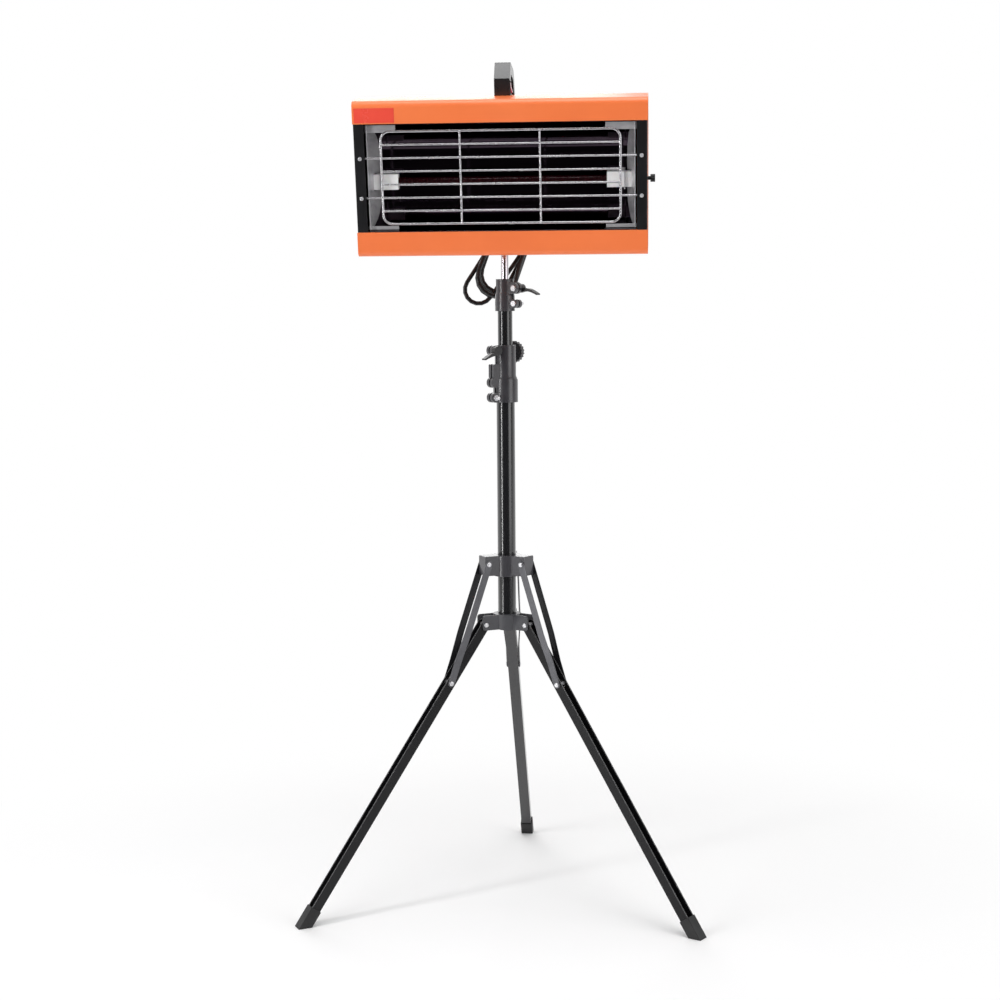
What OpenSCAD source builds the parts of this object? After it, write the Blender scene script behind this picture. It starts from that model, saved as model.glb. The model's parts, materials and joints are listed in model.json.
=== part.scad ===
// Short-wave paint drying lamp on a folding tripod stand.
// Millimetres, +Z up, +Y away from the lit side. The origin is on the floor, under the post.

/* [Legs] */
// Height of the leg pivots above the floor
hub_z = 390; // [300:5:480]
// Angle of each leg from vertical
splay = 34.5; // [25:0.5:42]
// Turn of the rear leg from straight back, clockwise from above
tripod_turn = 5.8; // [-30:0.1:30]
// Distance of the leg pivots from the post's centre
leg_pivot_r = 35.5; // [32:0.5:48]
// Width of a leg channel
leg_w = 15; // [12:0.5:20]
// Depth of a leg channel
leg_h = 13; // [11:0.5:18]
// Wall of a leg channel
leg_wall = 1.5; // [1:0.1:2.5]
// Distance down the leg to the brace rivet
knee_down = 93; // [70:1:130]
// Wall of a rubber foot
foot_wall = 1.3; // [1.2:0.1:3]
// Length of leg that a foot covers
foot_grip = 20; // [12:1:35]

/* [Braces and collar] */
// Height of the collar's pivots above the leg pivots
collar_rise = 84; // [70:1:110]
// Distance of the collar's pivots from the post's centre
collar_pivot_r = 32; // [29:0.5:40]
// Width of a brace strap
strap_w = 9.5; // [7:0.5:14]
// Thickness of a brace strap
strap_t = 1.5; // [1:0.1:3]
// Half the width between a pair of straps at the collar
strap_spread = 11.2; // [11:0.1:14]
// Length of strap beside the collar that runs straight
strap_straight = 100; // [90:1:120]
// Length over which the straps draw together
strap_joggle = 40; // [20:1:45]
// Height of the sliding collar below its pivots
collar_below = 18; // [12:1:26]
// Height of the sliding collar above its pivots
collar_above = 11; // [9:1:20]
// Wall of the sliding collar
collar_wall = 6; // [4:0.5:8]
// Radius of the rivets in the stand
rivet_r = 2.5; // [1.5:0.1:3.5]
// Radius of the collar's locking knob
collar_knob_r = 9; // [6:0.5:13]

/* [Post] */
// Diameter of the lower tube
lower_d = 25; // [24:0.5:30]
// Diameter of the middle tube
mid_d = 20; // [16:0.5:21]
// Wall of both tubes
tube_wall = 1.5; // [1:0.1:2]
// Diameter of the top rod
rod_d = 10; // [8:0.5:12]
// Length of the middle tube
mid_len = 398; // [340:1:450]
// Length by which the lower tube is shorter than the middle tube
tube_step = 55.5; // [30:0.5:95]
// Length of the top rod
rod_len = 400; // [340:1:420]
// Bare length of middle tube between the clamps
mid_out = 46; // [5:1:230]
// Bare length of top rod between the upper clamp and the head's adapter
rod_out = 37; // [5:1:240]

/* [Clamps] */
// Height of the lower clamp
low_clamp_h = 77.5; // [70:0.5:95]
// Length of lower tube inside the lower clamp
low_sleeve_h = 30; // [26:1:40]
// Height of the upper clamp
up_clamp_h = 43; // [40:1:60]
// Length of middle tube inside the upper clamp
up_sleeve_h = 20; // [14:1:22]
// Wall round the tube that a clamp sits on
sleeve_wall = 4.3; // [3:0.1:5]
// Turn of the lower clamp's ears, from +X
low_clamp_turn = 215; // [200:1:240]
// Turn of the upper clamp's ears, from +X
up_clamp_turn = -35; // [-50:1:-20]
// Reach of the lower clamp's lever from its bolt
low_lever_len = 21; // [18:1:36]
// Reach of the upper clamp's lever from its bolt
up_lever_len = 28; // [18:1:36]
// Thickness of a clamp lever
lever_t = 8; // [6:0.5:10]
// Radius of the clamp bolts
bolt_r = 2.5; // [2:0.1:3]
// Radius of the round height knob
height_knob_r = 15; // [10:0.5:17]

/* [Head] */
// Width of the head over its end caps
head_w = 378; // [300:2:460]
// Height of the opening between the lips
aperture = 139; // [120:1:160]
// Depth of the head
head_d = 84; // [76:1:100]
// Depth of the flat part of the top and bottom
flat_d = 60; // [45:1:66]
// Height of the back wall
back_h = 116; // [96:1:130]
// Thickness of the housing's sheet
sheet_t = 1.5; // [1:0.1:2.5]
// Height of the upper lip
lip_top = 28.5; // [22:0.5:40]
// Height of the lower lip
lip_bottom = 32.5; // [22:0.5:40]
// Outer radius of the bends at the lips
bend_r = 8; // [4:0.5:12]
// Width of each end cap
cap_w = 14; // [12:0.5:20]
// Wall of an end cap
cap_wall = 2.5; // [1.5:0.1:3.5]
// Height of the head's centre above the tilt axis
head_rise = 55; // [50:1:60]
// Distance from the tilt axis to the front of the head
stand_off = 109; // [104:0.5:125]
// Sideways offset of the head from the post
head_shift = 5; // [-20:1:20]
// Turn of the head about the post
head_yaw = -5; // [-45:1:45]
// Lean of the head towards the floor
head_tilt = 11; // [0:0.5:20]

/* [Lamp and reflector] */
// Depth of the reflector trough
trough_d = 52; // [45:1:58]
// Half the height of the reflector's flat back
trough_back = 20; // [19:1:30]
// Thickness of the reflector sheet
reflector_t = 0.8; // [0.5:0.1:1.2]
// Radius of the quartz tube
quartz_r = 5.25; // [4:0.25:7]
// Wall of the quartz tube
quartz_wall = 1.2; // [0.8:0.1:1.6]
// Length of glass that shows
glass_len = 272; // [200:2:290]
// Depth of the tube's axis behind the front
lamp_y = 32; // [26:1:36]
// Height of the tube's axis above the head's centre
lamp_z = -8; // [-8:1:6]
// Length of a ceramic end
ceramic_len = 34; // [24:1:36]

/* [Guard] */
// Width of the wire guard
guard_w = 308; // [240:2:320]
// Spacing of the guard's long wires
guard_pitch = 17; // [14:0.5:18]
// Diameter of the guard's frame wire
frame_wire = 3.2; // [2.5:0.1:4]
// Diameter of the guard's other wires
thin_wire = 2.6; // [2:0.1:3.5]
// Corner radius of the guard's frame
guard_corner = 12; // [8:1:20]

/* [Handle and switch] */
// Width of the handle
handle_w = 20.5; // [19:0.5:28]
// Height of the handle's front face
handle_face = 21.5; // [18:0.5:30]
// Rise of the handle's sloping shoulder
handle_shoulder = 19.5; // [10:0.5:24]
// Thickness of the grip
grip_t = 14; // [12:0.5:18]
// Length of the handle from front to back
handle_len = 90; // [84:1:100]
// Fall of the grip from its peak to its rear bend
handle_fall = 14; // [8:1:24]
// Distance of the handle behind the front of the head
handle_y = 52; // [40:1:56]
// Width of the rocker switch
rocker_w = 8; // [6:0.5:9]
// Height of the rocker switch
rocker_h = 14; // [10:0.5:16]

/* [Cord] */
// Diameter of the mains cord
cord_d = 6; // [5:0.5:6]
// Loops in the hank
hank_turns = 6; // [3:1:8]
// Distance between the middles of neighbouring loops
hank_pitch = 6.8; // [6.5:0.1:8]

/* [Clearances] */
// Gap round a pin that turns in its hole
pin_gap = 0.1; // [0.05:0.01:0.2]
// Gap between a tube and what slides on it
slide_gap = 0.1; // [0.05:0.01:0.3]
// Gap beside parts that move past each other
side_gap = 0.4; // [0.3:0.05:0.8]
// Gap round a part that is seated and fixed
seat_gap = 0.05; // [0.02:0.01:0.1]

/* [Hidden] */
$fn = 48;
eps = 0.01;

black = [0.1, 0.1, 0.11];
satin = [0.2, 0.2, 0.22];
steel = [0.72, 0.72, 0.74];
chrome = [0.85, 0.85, 0.87];
orange = [0.93, 0.4, 0.13];

// Legs and braces
post_r = lower_d / 2;
hub_gap = side_gap;
hub_cheek = 1.8;
hub_h = 20.5;
hub_bottom = hub_z - 7.5;
hub_ring_r = post_r + 7;
cheek_r = 5.5;
hub_corner = 4;
foot_rise = 7;
leg_len = (hub_z - foot_rise) / cos(splay);
collar_z = hub_z + collar_rise;
knee_x = leg_pivot_r + knee_down * sin(splay);
knee_z = hub_z - knee_down * cos(splay);
brace_len = norm([knee_x - collar_pivot_r, collar_z - knee_z]);
brace_lean = asin((knee_x - collar_pivot_r) / brace_len);
strap_foot = leg_w / 2 + side_gap;
knee_slack = 1.1;
knee_travel = 1.3;
rivet_head_r = rivet_r + 1;
rivet_head_h = 1.1;

// Post
lower_len = mid_len - tube_step;
lower_bottom = hub_bottom;
lower_top = lower_bottom + lower_len;
low_clamp_z = lower_top - low_sleeve_h;
low_clamp_top = low_clamp_z + low_clamp_h;
up_clamp_z = low_clamp_top + mid_out;
up_clamp_top = up_clamp_z + up_clamp_h;
mid_top = up_clamp_z + up_sleeve_h;
mid_bottom = mid_top - mid_len;
adapter_z = up_clamp_top + rod_out;
adapter_h = 40;
adapter_r = 11;
rod_top = adapter_z + adapter_h - 5;
rod_bottom = rod_top - rod_len;
tongue_rise = 19;
tilt_z = adapter_z + adapter_h + tongue_rise;
bore_lower = post_r - tube_wall;
bore_mid = mid_d / 2 - tube_wall;

// Clamps: distances are from the clamp's own foot and from the post's centre
low_outer = post_r + seat_gap + sleeve_wall;
up_outer = mid_d / 2 + seat_gap + sleeve_wall - 1;
low_neck_r = mid_d / 2 + 4.4;
up_neck_r = 12;
neck_bush_r = rod_d / 2 + 2.4;
ear_reach = 5.5;
slit = 2.6;
low_ear_c = low_outer + 4.5;
up_ear_c = up_outer + 5.1;
low_ear_half = 6.5;
up_ear_half = 6.5;
low_bolt_z = 6.5;
low_lever_z = low_clamp_h - 7;
knob_z = low_clamp_h - 10;
up_bolt_z = 10;
up_lever_z = up_clamp_h - 12.5;
lever_hub_r = 6;
lever_root_r = 3;
lever_tip_r = 1.2;
lever_floor = 1.5;
bolt_head_r = 3.8;
bolt_head_h = 1.6;
bolt_slack = 0.3;
nut_af = 7;
nut_h = 3;
knob_dir = 62;
knob_boss_r = 7;
knob_boss_out = 20;

// Head, in its own frame: the front's centre, x to the right, y back, z up
hw = head_w / 2;
mouth = aperture / 2;
ht = mouth + lip_top;
hb = mouth + lip_bottom;
bh = back_h / 2;
body_half = hw - cap_w;
cap_out = hw - 1;
cap_fit = sheet_t + seat_gap;
lip_fit = 0.3;
bend_steps = 8;
outline = [[0, ht], [flat_d, ht], [head_d, bh], [head_d, -bh], [flat_d, -hb], [0, -hb]];
trough_edge = mouth - 1;
trough_steps = 7;
guard_rows = [-3.5, -2.5, -1.5, -0.5, 0.5, 1.5, 2.5, 3.5];
guard_half_h = 3.5 * guard_pitch;
eye_t = 1.8;
eye_r = 4.2;
guard_y = cap_wall + lip_fit + frame_wire / 2;
screw_x = cap_out - cap_wall - eye_r - lip_fit;
lamp_half = glass_len / 2;
holder_x = lamp_half + ceramic_len - 12;
ceramic_h = 20;
ceramic_d = 12;
end_plate_x = body_half - 1;
end_plate_t = 1;
end_plate_gap = 2.5;
lamp_plate_t = 1.5;
end_plate_back = holder_x + lamp_plate_t + end_plate_gap;
end_plate_front = guard_y + frame_wire / 2 + 1;
filament_end = lamp_half + 4;
bracket_t = 3;
bracket_back = head_d - stand_off;
tongue_half = 6;
tongue_r = 10;
tilt_bolt_r = 4;
cheek_in = tongue_half + side_gap;
tilt_knob_bore = 11;
handle_x = 0.4;
handle_bolt_x = handle_x - handle_w / 2 + 5;
rocker_pocket = 10;
handle_bolt_y = (handle_y + flat_d) / 2 - 0.5;
handle_top = ht + handle_face + handle_shoulder;
rocker_y = handle_y + grip_t / 2;
rocker_z = ht + 9.5;
side_screw_y = lamp_y + 3;
label_t = 0.5;
gland_at = [35, head_d, -head_rise + 18];
gland_len = 16;

// Cord: the free stretch's middle points, then the hank's loops as radius and lower end
cord_r = cord_d / 2;
hook_r = 3;
hook_x = 5;
hook_z = adapter_z + 24;
hank_top = hook_z + hook_r + 0.3 + cord_r;
hank_first_y = 39;
hook_end = hank_first_y + hank_pitch * hank_turns + cord_r + 4;
hank_loops = [[27, -10, -33], [19, -36, -51], [24, -8, -30], [26, -12, -35], [22, -14, -32], [25, -9, -34]];
stretch_points = [
    [45, 8, 976], [55, 24, 973], [65, 36, 962], [68, 42, 946], [60, 44, 932], [44, 42, 926]
];
plug_droop = 21;
plug_len = 42;
plug_r = 18;
relief_len = 12;

function leg_az(k) = 90 - tripod_turn - 120 * (k - 1);
function unit(v) = v / norm(v);
function rot_x(a, p) = [p[0], p[1] * cos(a) - p[2] * sin(a), p[1] * sin(a) + p[2] * cos(a)];
function rot_z(a, p) = [p[0] * cos(a) - p[1] * sin(a), p[0] * sin(a) + p[1] * cos(a), p[2]];
function head_point(p) =
    rot_z(head_yaw, rot_x(head_tilt, p + [head_shift, -stand_off, head_rise])) + [0, 0, tilt_z];
function head_dir(v) = rot_z(head_yaw, rot_x(head_tilt, v));

// An open or closed outline moved sideways by d, with mitred corners
function edge_normal(a, b) = let (v = unit(b - a)) [v[1], -v[0]];
function mitre(p, q, r, d) =
    let (n = edge_normal(p, q), m = edge_normal(q, r)) q + d * (n + m) / (1 + n * m);
function inset(pts, d) = [
    for (i = [0 : len(pts) - 1])
        mitre(pts[(i + len(pts) - 1) % len(pts)], pts[i], pts[(i + 1) % len(pts)], d)
];
function beside(pts, d) = [
    for (i = [0 : len(pts) - 1])
        i == 0 ? pts[0] + d * edge_normal(pts[0], pts[1])
        : i == len(pts) - 1 ? pts[i] + d * edge_normal(pts[i - 1], pts[i])
        : mitre(pts[i - 1], pts[i], pts[i + 1], d)
];
// An arc of radius r in place of the corner b between a and c
function fillet(a, b, c, r, steps = 6) =
    let (
        u = unit(a - b),
        v = unit(c - b),
        half = acos(u * v) / 2,
        centre = b + unit(u + v) * r / sin(half),
        start = b + u * r / tan(half) - centre,
        turn = (u[0] * v[1] - u[1] * v[0] > 0 ? -1 : 1) * (180 - 2 * half)
    )
    [for (i = [0 : steps]) let (a = turn * i / steps)
        centre + [start[0] * cos(a) - start[1] * sin(a), start[0] * sin(a) + start[1] * cos(a)]];
function filleted(pts, radii) = [
    for (i = [0 : len(pts) - 1])
        each radii[i] > 0 ? fillet(pts[i - 1], pts[i], pts[i + 1], radii[i]) : [pts[i]]
];
function backwards(v) = [for (i = [len(v) - 1 : -1 : 0]) v[i]];
function mirrored(v) = [for (p = v) [p[0], -p[1]]];

module at_leg(k) {
    rotate([0, 0, leg_az(k)]) translate([leg_pivot_r, 0, hub_z]) children();
}

// The leg runs along -Z from its pivot, with its open side towards +X
module along_leg(k) {
    at_leg(k) rotate([0, -splay, 0]) children();
}

module along_brace(k) {
    rotate([0, 0, leg_az(k)]) translate([collar_pivot_r, 0, collar_z])
        rotate([0, -brace_lean, 0]) children();
}

module at_tilt_axis() {
    translate([0, 0, tilt_z]) rotate([0, 0, head_yaw]) rotate([head_tilt, 0, 0]) children();
}

module in_head() {
    at_tilt_axis() translate([head_shift, -stand_off, head_rise]) children();
}

module along_x(p) {
    translate(p) rotate([0, 90, 0]) children();
}

module along_y(p) {
    translate(p) rotate([-90, 0, 0]) children();
}

// A flat shape given in y and z, made thick from x = from to x = to
module yz_slab(from, to) {
    translate([from, 0, 0]) rotate([90, 0, 90]) linear_extrude(to - from) children();
}

// A flat shape given in x and z, made thick from y = from to y = to
module xz_slab(from, to) {
    translate([0, to, 0]) rotate([90, 0, 0]) linear_extrude(to - from) children();
}

module stadium(p, q, r) {
    v = unit(q - p);
    n = [-v[1], v[0]] * r;
    polygon([p + n, q + n, q - n, p - n]);
    translate(p) circle(r);
    translate(q) circle(r);
}

// A tab from x = from to x = to, with its outer corners rounded
module tab(from, to, low, high, r) {
    translate([from, low]) square([to - from - r, high - low]);
    translate([from, low + r]) square([to - from, high - low - 2 * r]);
    for (z = [low + r, high - r]) {
        translate([to - r, z]) circle(r);
    }
}

// A pin along Y with a cone-edged head at each end of its grip
module rivet(half_grip) {
    along_y([0, -half_grip - eps, 0]) cylinder(h = 2 * half_grip + 2 * eps, r = rivet_r);
    for (s = [-1, 1]) {
        translate([0, s * half_grip, 0]) rotate([-90 * s, 0, 0])
            cylinder(h = rivet_head_h, r1 = rivet_head_r, r2 = rivet_head_r - 1);
    }
}

module hex_nut(af, h, bore) {
    difference() {
        cylinder(h = h, r = af / sqrt(3), $fn = 6);
        translate([0, 0, -eps]) cylinder(h = h + 2 * eps, r = bore);
    }
}

module pan_screw(head_r, head_h, shank_r, shank_len) {
    cylinder(h = head_h * 0.5, r = head_r);
    translate([0, 0, head_h * 0.5]) cylinder(h = head_h * 0.5, r1 = head_r, r2 = head_r * 0.75);
    translate([0, 0, -shank_len]) cylinder(h = shank_len + eps, r = shank_r);
}

module knurled_disc(r, h, notches) {
    difference() {
        cylinder(h = h, r = r);
        for (i = [0 : notches - 1]) {
            rotate([0, 0, i * 360 / notches]) translate([r + r * 0.06, 0, -eps])
                cylinder(h = h + 2 * eps, r = r * 0.14, $fn = 16);
        }
    }
}

// Post, hub and legs
module lower_tube() {
    color(satin) translate([0, 0, lower_bottom]) difference() {
        cylinder(h = lower_len, r = post_r);
        translate([0, 0, -1]) cylinder(h = lower_len + 2, r = bore_lower);
    }
}

module tube_plug() {
    color(black) {
        translate([0, 0, lower_bottom - 2]) cylinder(h = 2, r = post_r);
        translate([0, 0, lower_bottom - eps]) cylinder(h = 12, r = bore_lower - seat_gap);
    }
}

module hub() {
    inner = leg_w / 2 + hub_gap;
    color(black) difference() {
        union() {
            translate([0, 0, hub_bottom]) cylinder(h = hub_h, r = hub_ring_r);
            for (k = [1 : 3], s = [-1, 1]) {
                rotate([0, 0, leg_az(k)])
                    xz_slab(s > 0 ? inner : -inner - hub_cheek, s > 0 ? inner + hub_cheek : -inner)
                    hub_cheek_shape();
            }
        }
        translate([0, 0, hub_bottom - 1]) cylinder(h = hub_h + 2, r = post_r + seat_gap);
        for (k = [1 : 3]) {
            at_leg(k) along_y([0, -20, 0]) cylinder(h = 40, r = rivet_r + seat_gap);
        }
    }
}

module hub_cheek_shape() {
    tab(post_r + 4, leg_pivot_r + cheek_r, hub_bottom, hub_bottom + hub_h, hub_corner);
}

module hub_rivets() {
    color(steel) for (k = [1 : 3]) {
        at_leg(k) rivet(leg_w / 2 + hub_gap + hub_cheek);
    }
}

module leg(k) {
    color(satin) along_leg(k) difference() {
        xz_slab(-leg_w / 2, leg_w / 2) {
            circle(leg_h / 2);
            translate([-leg_h / 2, -leg_len]) square([leg_h, leg_len]);
        }
        translate([-leg_h / 2 + leg_wall, -leg_w / 2 + leg_wall, -leg_len - 1])
            cube([leg_h, leg_w - 2 * leg_wall, leg_len + leg_h]);
        along_y([0, -leg_w, 0]) cylinder(h = 2 * leg_w, r = rivet_r + pin_gap);
        xz_slab(-leg_w, leg_w)
            stadium([0, -knee_down - knee_travel], [0, -knee_down + knee_travel], rivet_r + knee_slack);
    }
}

module foot(k) {
    outer_x = leg_h + 2 * foot_wall;
    outer_y = leg_w + 2 * foot_wall;
    color(black) intersection() {
        along_leg(k) translate([0, 0, -leg_len]) difference() {
            translate([-outer_x / 2, -outer_y / 2, -20]) cube([outer_x, outer_y, foot_grip + 20]);
            translate([-leg_h / 2 - seat_gap, -leg_w / 2 - seat_gap, 0])
                cube([leg_h + 2 * seat_gap, leg_w + 2 * seat_gap, foot_grip + 1]);
        }
        translate([-900, -900, 0]) cube([1800, 1800, hub_z]);
    }
}

// Two straps a brace, drawing together from the collar to the leg
module brace(k) {
    over = strap_w / 2;
    color(satin) along_brace(k) for (s = [-1, 1]) {
        difference() {
            intersection() {
                translate([-strap_w, 0, 0]) rotate([90, 0, 90]) linear_extrude(2 * strap_w) polygon([
                    [s * strap_spread, over],
                    [s * (strap_spread + strap_t), over],
                    [s * (strap_spread + strap_t), -strap_straight],
                    [s * (strap_foot + strap_t), -strap_straight - strap_joggle],
                    [s * (strap_foot + strap_t), -brace_len - over],
                    [s * strap_foot, -brace_len - over],
                    [s * strap_foot, -strap_straight - strap_joggle],
                    [s * strap_spread, -strap_straight]
                ]);
                xz_slab(-30, 30) stadium([0, 0], [0, -brace_len], strap_w / 2);
            }
            along_y([0, -30, 0]) cylinder(h = 60, r = rivet_r + pin_gap);
            along_y([0, -30, -brace_len]) cylinder(h = 60, r = rivet_r + seat_gap);
        }
    }
}

module brace_pin(k) {
    color(steel) along_brace(k) translate([0, 0, -brace_len]) rivet(strap_foot + strap_t + 0.1);
}

module collar() {
    lug_half = strap_spread - side_gap;
    lug_end = collar_pivot_r + 5;
    foot = collar_z - collar_below;
    color(black) difference() {
        union() {
            translate([0, 0, foot])
                cylinder(h = collar_below + collar_above, r = post_r + slide_gap + collar_wall);
            for (k = [1 : 3]) {
                rotate([0, 0, leg_az(k)]) xz_slab(-lug_half, lug_half)
                    tab(post_r + 3, lug_end, foot + 2, collar_z + collar_above, 2);
            }
            collar_screw_axis() cylinder(h = post_r + collar_wall + 4, r = 6.5);
        }
        translate([0, 0, collar_z - 2 * collar_below]) cylinder(h = 4 * collar_below, r = post_r + slide_gap);
        for (k = [1 : 3]) {
            rotate([0, 0, leg_az(k)]) along_y([collar_pivot_r, -30, collar_z])
                cylinder(h = 60, r = rivet_r + seat_gap);
        }
        collar_screw_axis() cylinder(h = 60, r = 3 + pin_gap);
    }
}

module collar_screw_axis() {
    rotate([0, 0, leg_az(1) + 60]) along_x([0, 0, collar_z - 3]) children();
}

module collar_rivets() {
    color(steel) for (k = [1 : 3]) {
        rotate([0, 0, leg_az(k)]) translate([collar_pivot_r, 0, collar_z])
            rivet(strap_spread + strap_t + 0.1 + side_gap / 2);
    }
}

module collar_screw() {
    start = post_r + collar_wall + 4 + side_gap;
    color(black) collar_screw_axis() {
        translate([0, 0, start]) knurled_disc(collar_knob_r, 9, 12);
        translate([0, 0, post_r + side_gap]) cylinder(h = start - post_r, r = 3);
    }
}

// Clamps: ears point along +X of the clamp's own frame, bolts run along Y
module clamp_body(h, sleeve_h, sleeve_bore, outer, neck_r, neck_bore, ear_c, ear_half, ears, bolts) {
    step = 6;
    difference() {
        union() {
            cylinder(h = sleeve_h, r = outer);
            translate([0, 0, sleeve_h]) cylinder(h = step, r1 = outer, r2 = neck_r);
            cylinder(h = h, r = neck_r);
            for (e = ears) {
                xz_slab(-ear_half, ear_half)
                    tab(0, ear_c + ear_reach - e[2], e[0], e[1], e[2] > 0 ? 2 : (e[1] - e[0]) / 2 - 0.4);
            }
        }
        translate([0, 0, -1]) cylinder(h = sleeve_h + 1, r = sleeve_bore);
        translate([0, 0, -1]) cylinder(h = h + 2, r = neck_bore);
        translate([0, -slit / 2, -1]) cube([ear_c + 2 * ear_reach, slit, h + 2]);
        for (z = bolts) {
            along_y([ear_c, -30, z]) cylinder(h = 60, r = bolt_r + pin_gap);
        }
    }
}

// A bolt with a round head, and a nut unless it holds a lever
module clamp_bolt(z, ear_c, ear_half, held) {
    grip = held ? side_gap + lever_t - lever_floor - bolt_slack : 5 + nut_h;
    along_y([ear_c, -ear_half - bolt_head_h, z]) {
        cylinder(h = bolt_head_h, r = bolt_head_r);
        cylinder(h = bolt_head_h + 2 * ear_half + grip, r = bolt_r);
    }
    if (!held) {
        along_y([ear_c, ear_half, z]) hex_nut(nut_af, nut_h, bolt_r + seat_gap);
    }
}

// The lever's arm tapers from under its hub, bows up by bow and ends lower by fall,
// in the plane across its bolt
module lever(reach, fall, bow) {
    steps = 12;
    root = [0, lever_root_r - lever_hub_r];
    middle = [for (i = [0 : steps])
        root + ([reach, -fall] - root) * i / steps + [0, bow * sin(180 * i / steps)]];
    half = [for (i = [0 : steps]) lever_root_r + (lever_tip_r - lever_root_r) * i / steps];
    difference() {
        rotate([90, 0, 0]) translate([0, 0, -lever_t]) linear_extrude(lever_t) {
            circle(lever_hub_r);
            polygon(concat(
                [for (i = [0 : steps]) middle[i] + [0, half[i]]],
                [for (i = [steps : -1 : 0]) middle[i] - [0, half[i]]]
            ));
            translate(middle[steps]) circle(lever_tip_r);
        }
        along_y([0, -1, 0]) cylinder(h = lever_t + 1 - lever_floor, r = bolt_r + pin_gap);
    }
}

module at_low_clamp() {
    translate([0, 0, low_clamp_z]) rotate([0, 0, low_clamp_turn]) children();
}

module at_up_clamp() {
    translate([0, 0, up_clamp_z]) rotate([0, 0, up_clamp_turn]) children();
}

module height_knob_axis() {
    rotate([0, 0, knob_dir]) along_x([0, 0, low_clamp_z + knob_z]) children();
}

module lower_clamp() {
    ears = [[0, 13.5, 0], [20, 34, 0], [33, 52, 3.5], [low_lever_z - 7, low_clamp_h, 0]];
    color(satin) difference() {
        union() {
            at_low_clamp() clamp_body(
                low_clamp_h, low_sleeve_h, post_r + seat_gap, low_outer, low_neck_r,
                mid_d / 2 + slide_gap, low_ear_c, low_ear_half, ears, [low_bolt_z, low_lever_z]
            );
            difference() {
                height_knob_axis() cylinder(h = knob_boss_out, r = knob_boss_r);
                cylinder(h = low_clamp_top, r = mid_d / 2 + 2);
            }
        }
        height_knob_axis() cylinder(h = 40, r = 3 + pin_gap);
    }
}

module lower_clamp_bolts() {
    color(steel) at_low_clamp() {
        clamp_bolt(low_bolt_z, low_ear_c, low_ear_half, false);
        clamp_bolt(low_lever_z, low_ear_c, low_ear_half, true);
    }
}

module lower_lever() {
    color(black) at_low_clamp()
        translate([low_ear_c, low_ear_half + side_gap, low_lever_z]) lever(low_lever_len, 11, 1);
}

module height_knob() {
    color(black) height_knob_axis() {
        translate([0, 0, knob_boss_out + side_gap]) knurled_disc(height_knob_r, 8, 20);
        translate([0, 0, mid_d / 2 + side_gap])
            cylinder(h = knob_boss_out - mid_d / 2, r = 3);
    }
}

module mid_tube() {
    color(satin) translate([0, 0, mid_bottom]) difference() {
        cylinder(h = mid_len, r = mid_d / 2);
        translate([0, 0, -1]) cylinder(h = mid_len + 2, r = bore_mid);
    }
}

// Guide ring at the foot of the middle tube, inside the lower tube
module mid_bush() {
    color(black) translate([0, 0, mid_bottom - 2]) difference() {
        union() {
            cylinder(h = 2, r = bore_lower - slide_gap);
            translate([0, 0, 2 - eps]) cylinder(h = 14, r = bore_mid - seat_gap);
        }
        translate([0, 0, -1]) cylinder(h = 18, r = bore_mid - 2);
    }
}

module upper_clamp() {
    ears = [[4, 15.5, 0], [up_lever_z - 7.5, up_lever_z + 8.5, 0]];
    color(satin) at_up_clamp() clamp_body(
        up_clamp_h, up_sleeve_h, mid_d / 2 + seat_gap, up_outer, up_neck_r,
        rod_d / 2 + slide_gap, up_ear_c, up_ear_half, ears, [up_bolt_z, up_lever_z]
    );
}

module upper_clamp_bolts() {
    color(steel) at_up_clamp() {
        clamp_bolt(up_bolt_z, up_ear_c, up_ear_half, false);
        clamp_bolt(up_lever_z, up_ear_c, up_ear_half, true);
    }
}

module upper_lever() {
    color(black) at_up_clamp()
        translate([up_ear_c, up_ear_half + side_gap, up_lever_z]) lever(up_lever_len, 8, 3.2);
}

module top_rod() {
    color(chrome) translate([0, 0, rod_bottom]) cylinder(h = rod_len, r = rod_d / 2);
}

// Guide ring at the foot of the top rod, inside the middle tube
module rod_bush() {
    color(black) translate([0, 0, rod_bottom]) difference() {
        cylinder(h = 16, r = bore_mid - slide_gap);
        translate([0, 0, -1]) cylinder(h = 18, r = rod_d / 2 + seat_gap);
    }
}

// Adapter that turns on the rod and carries the head
module adapter() {
    color(satin) difference() {
        union() {
            translate([0, 0, adapter_z]) cylinder(h = adapter_h, r = adapter_r);
            translate([0, 0, tilt_z]) rotate([0, 0, head_yaw]) {
                yz_slab(-tongue_half, tongue_half) {
                    circle(tongue_r);
                    translate([-tongue_r + 0.5, -tongue_rise - 2])
                        square([2 * tongue_r - 1, tongue_rise + 2]);
                }
            }
            adapter_screw_axis() cylinder(h = adapter_r + 4, r = 6);
        }
        translate([0, 0, adapter_z - 1])
            cylinder(h = rod_top - adapter_z + 1 + seat_gap, r = rod_d / 2 + seat_gap);
        translate([0, 0, tilt_z]) rotate([0, 0, head_yaw])
            along_x([-20, 0, 0]) cylinder(h = 40, r = tilt_bolt_r + pin_gap);
        adapter_screw_axis() cylinder(h = 40, r = 3 + pin_gap);
    }
}

module adapter_screw_axis() {
    rotate([0, 0, 180 + head_yaw]) along_x([0, 0, adapter_z + 20]) children();
}

module adapter_screw() {
    start = adapter_r + 4 + side_gap;
    color(black) adapter_screw_axis() {
        translate([0, 0, start]) knurled_disc(10, 9, 12);
        translate([0, 0, rod_d / 2 + side_gap]) cylinder(h = start - rod_d / 2, r = 3);
    }
}

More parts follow.
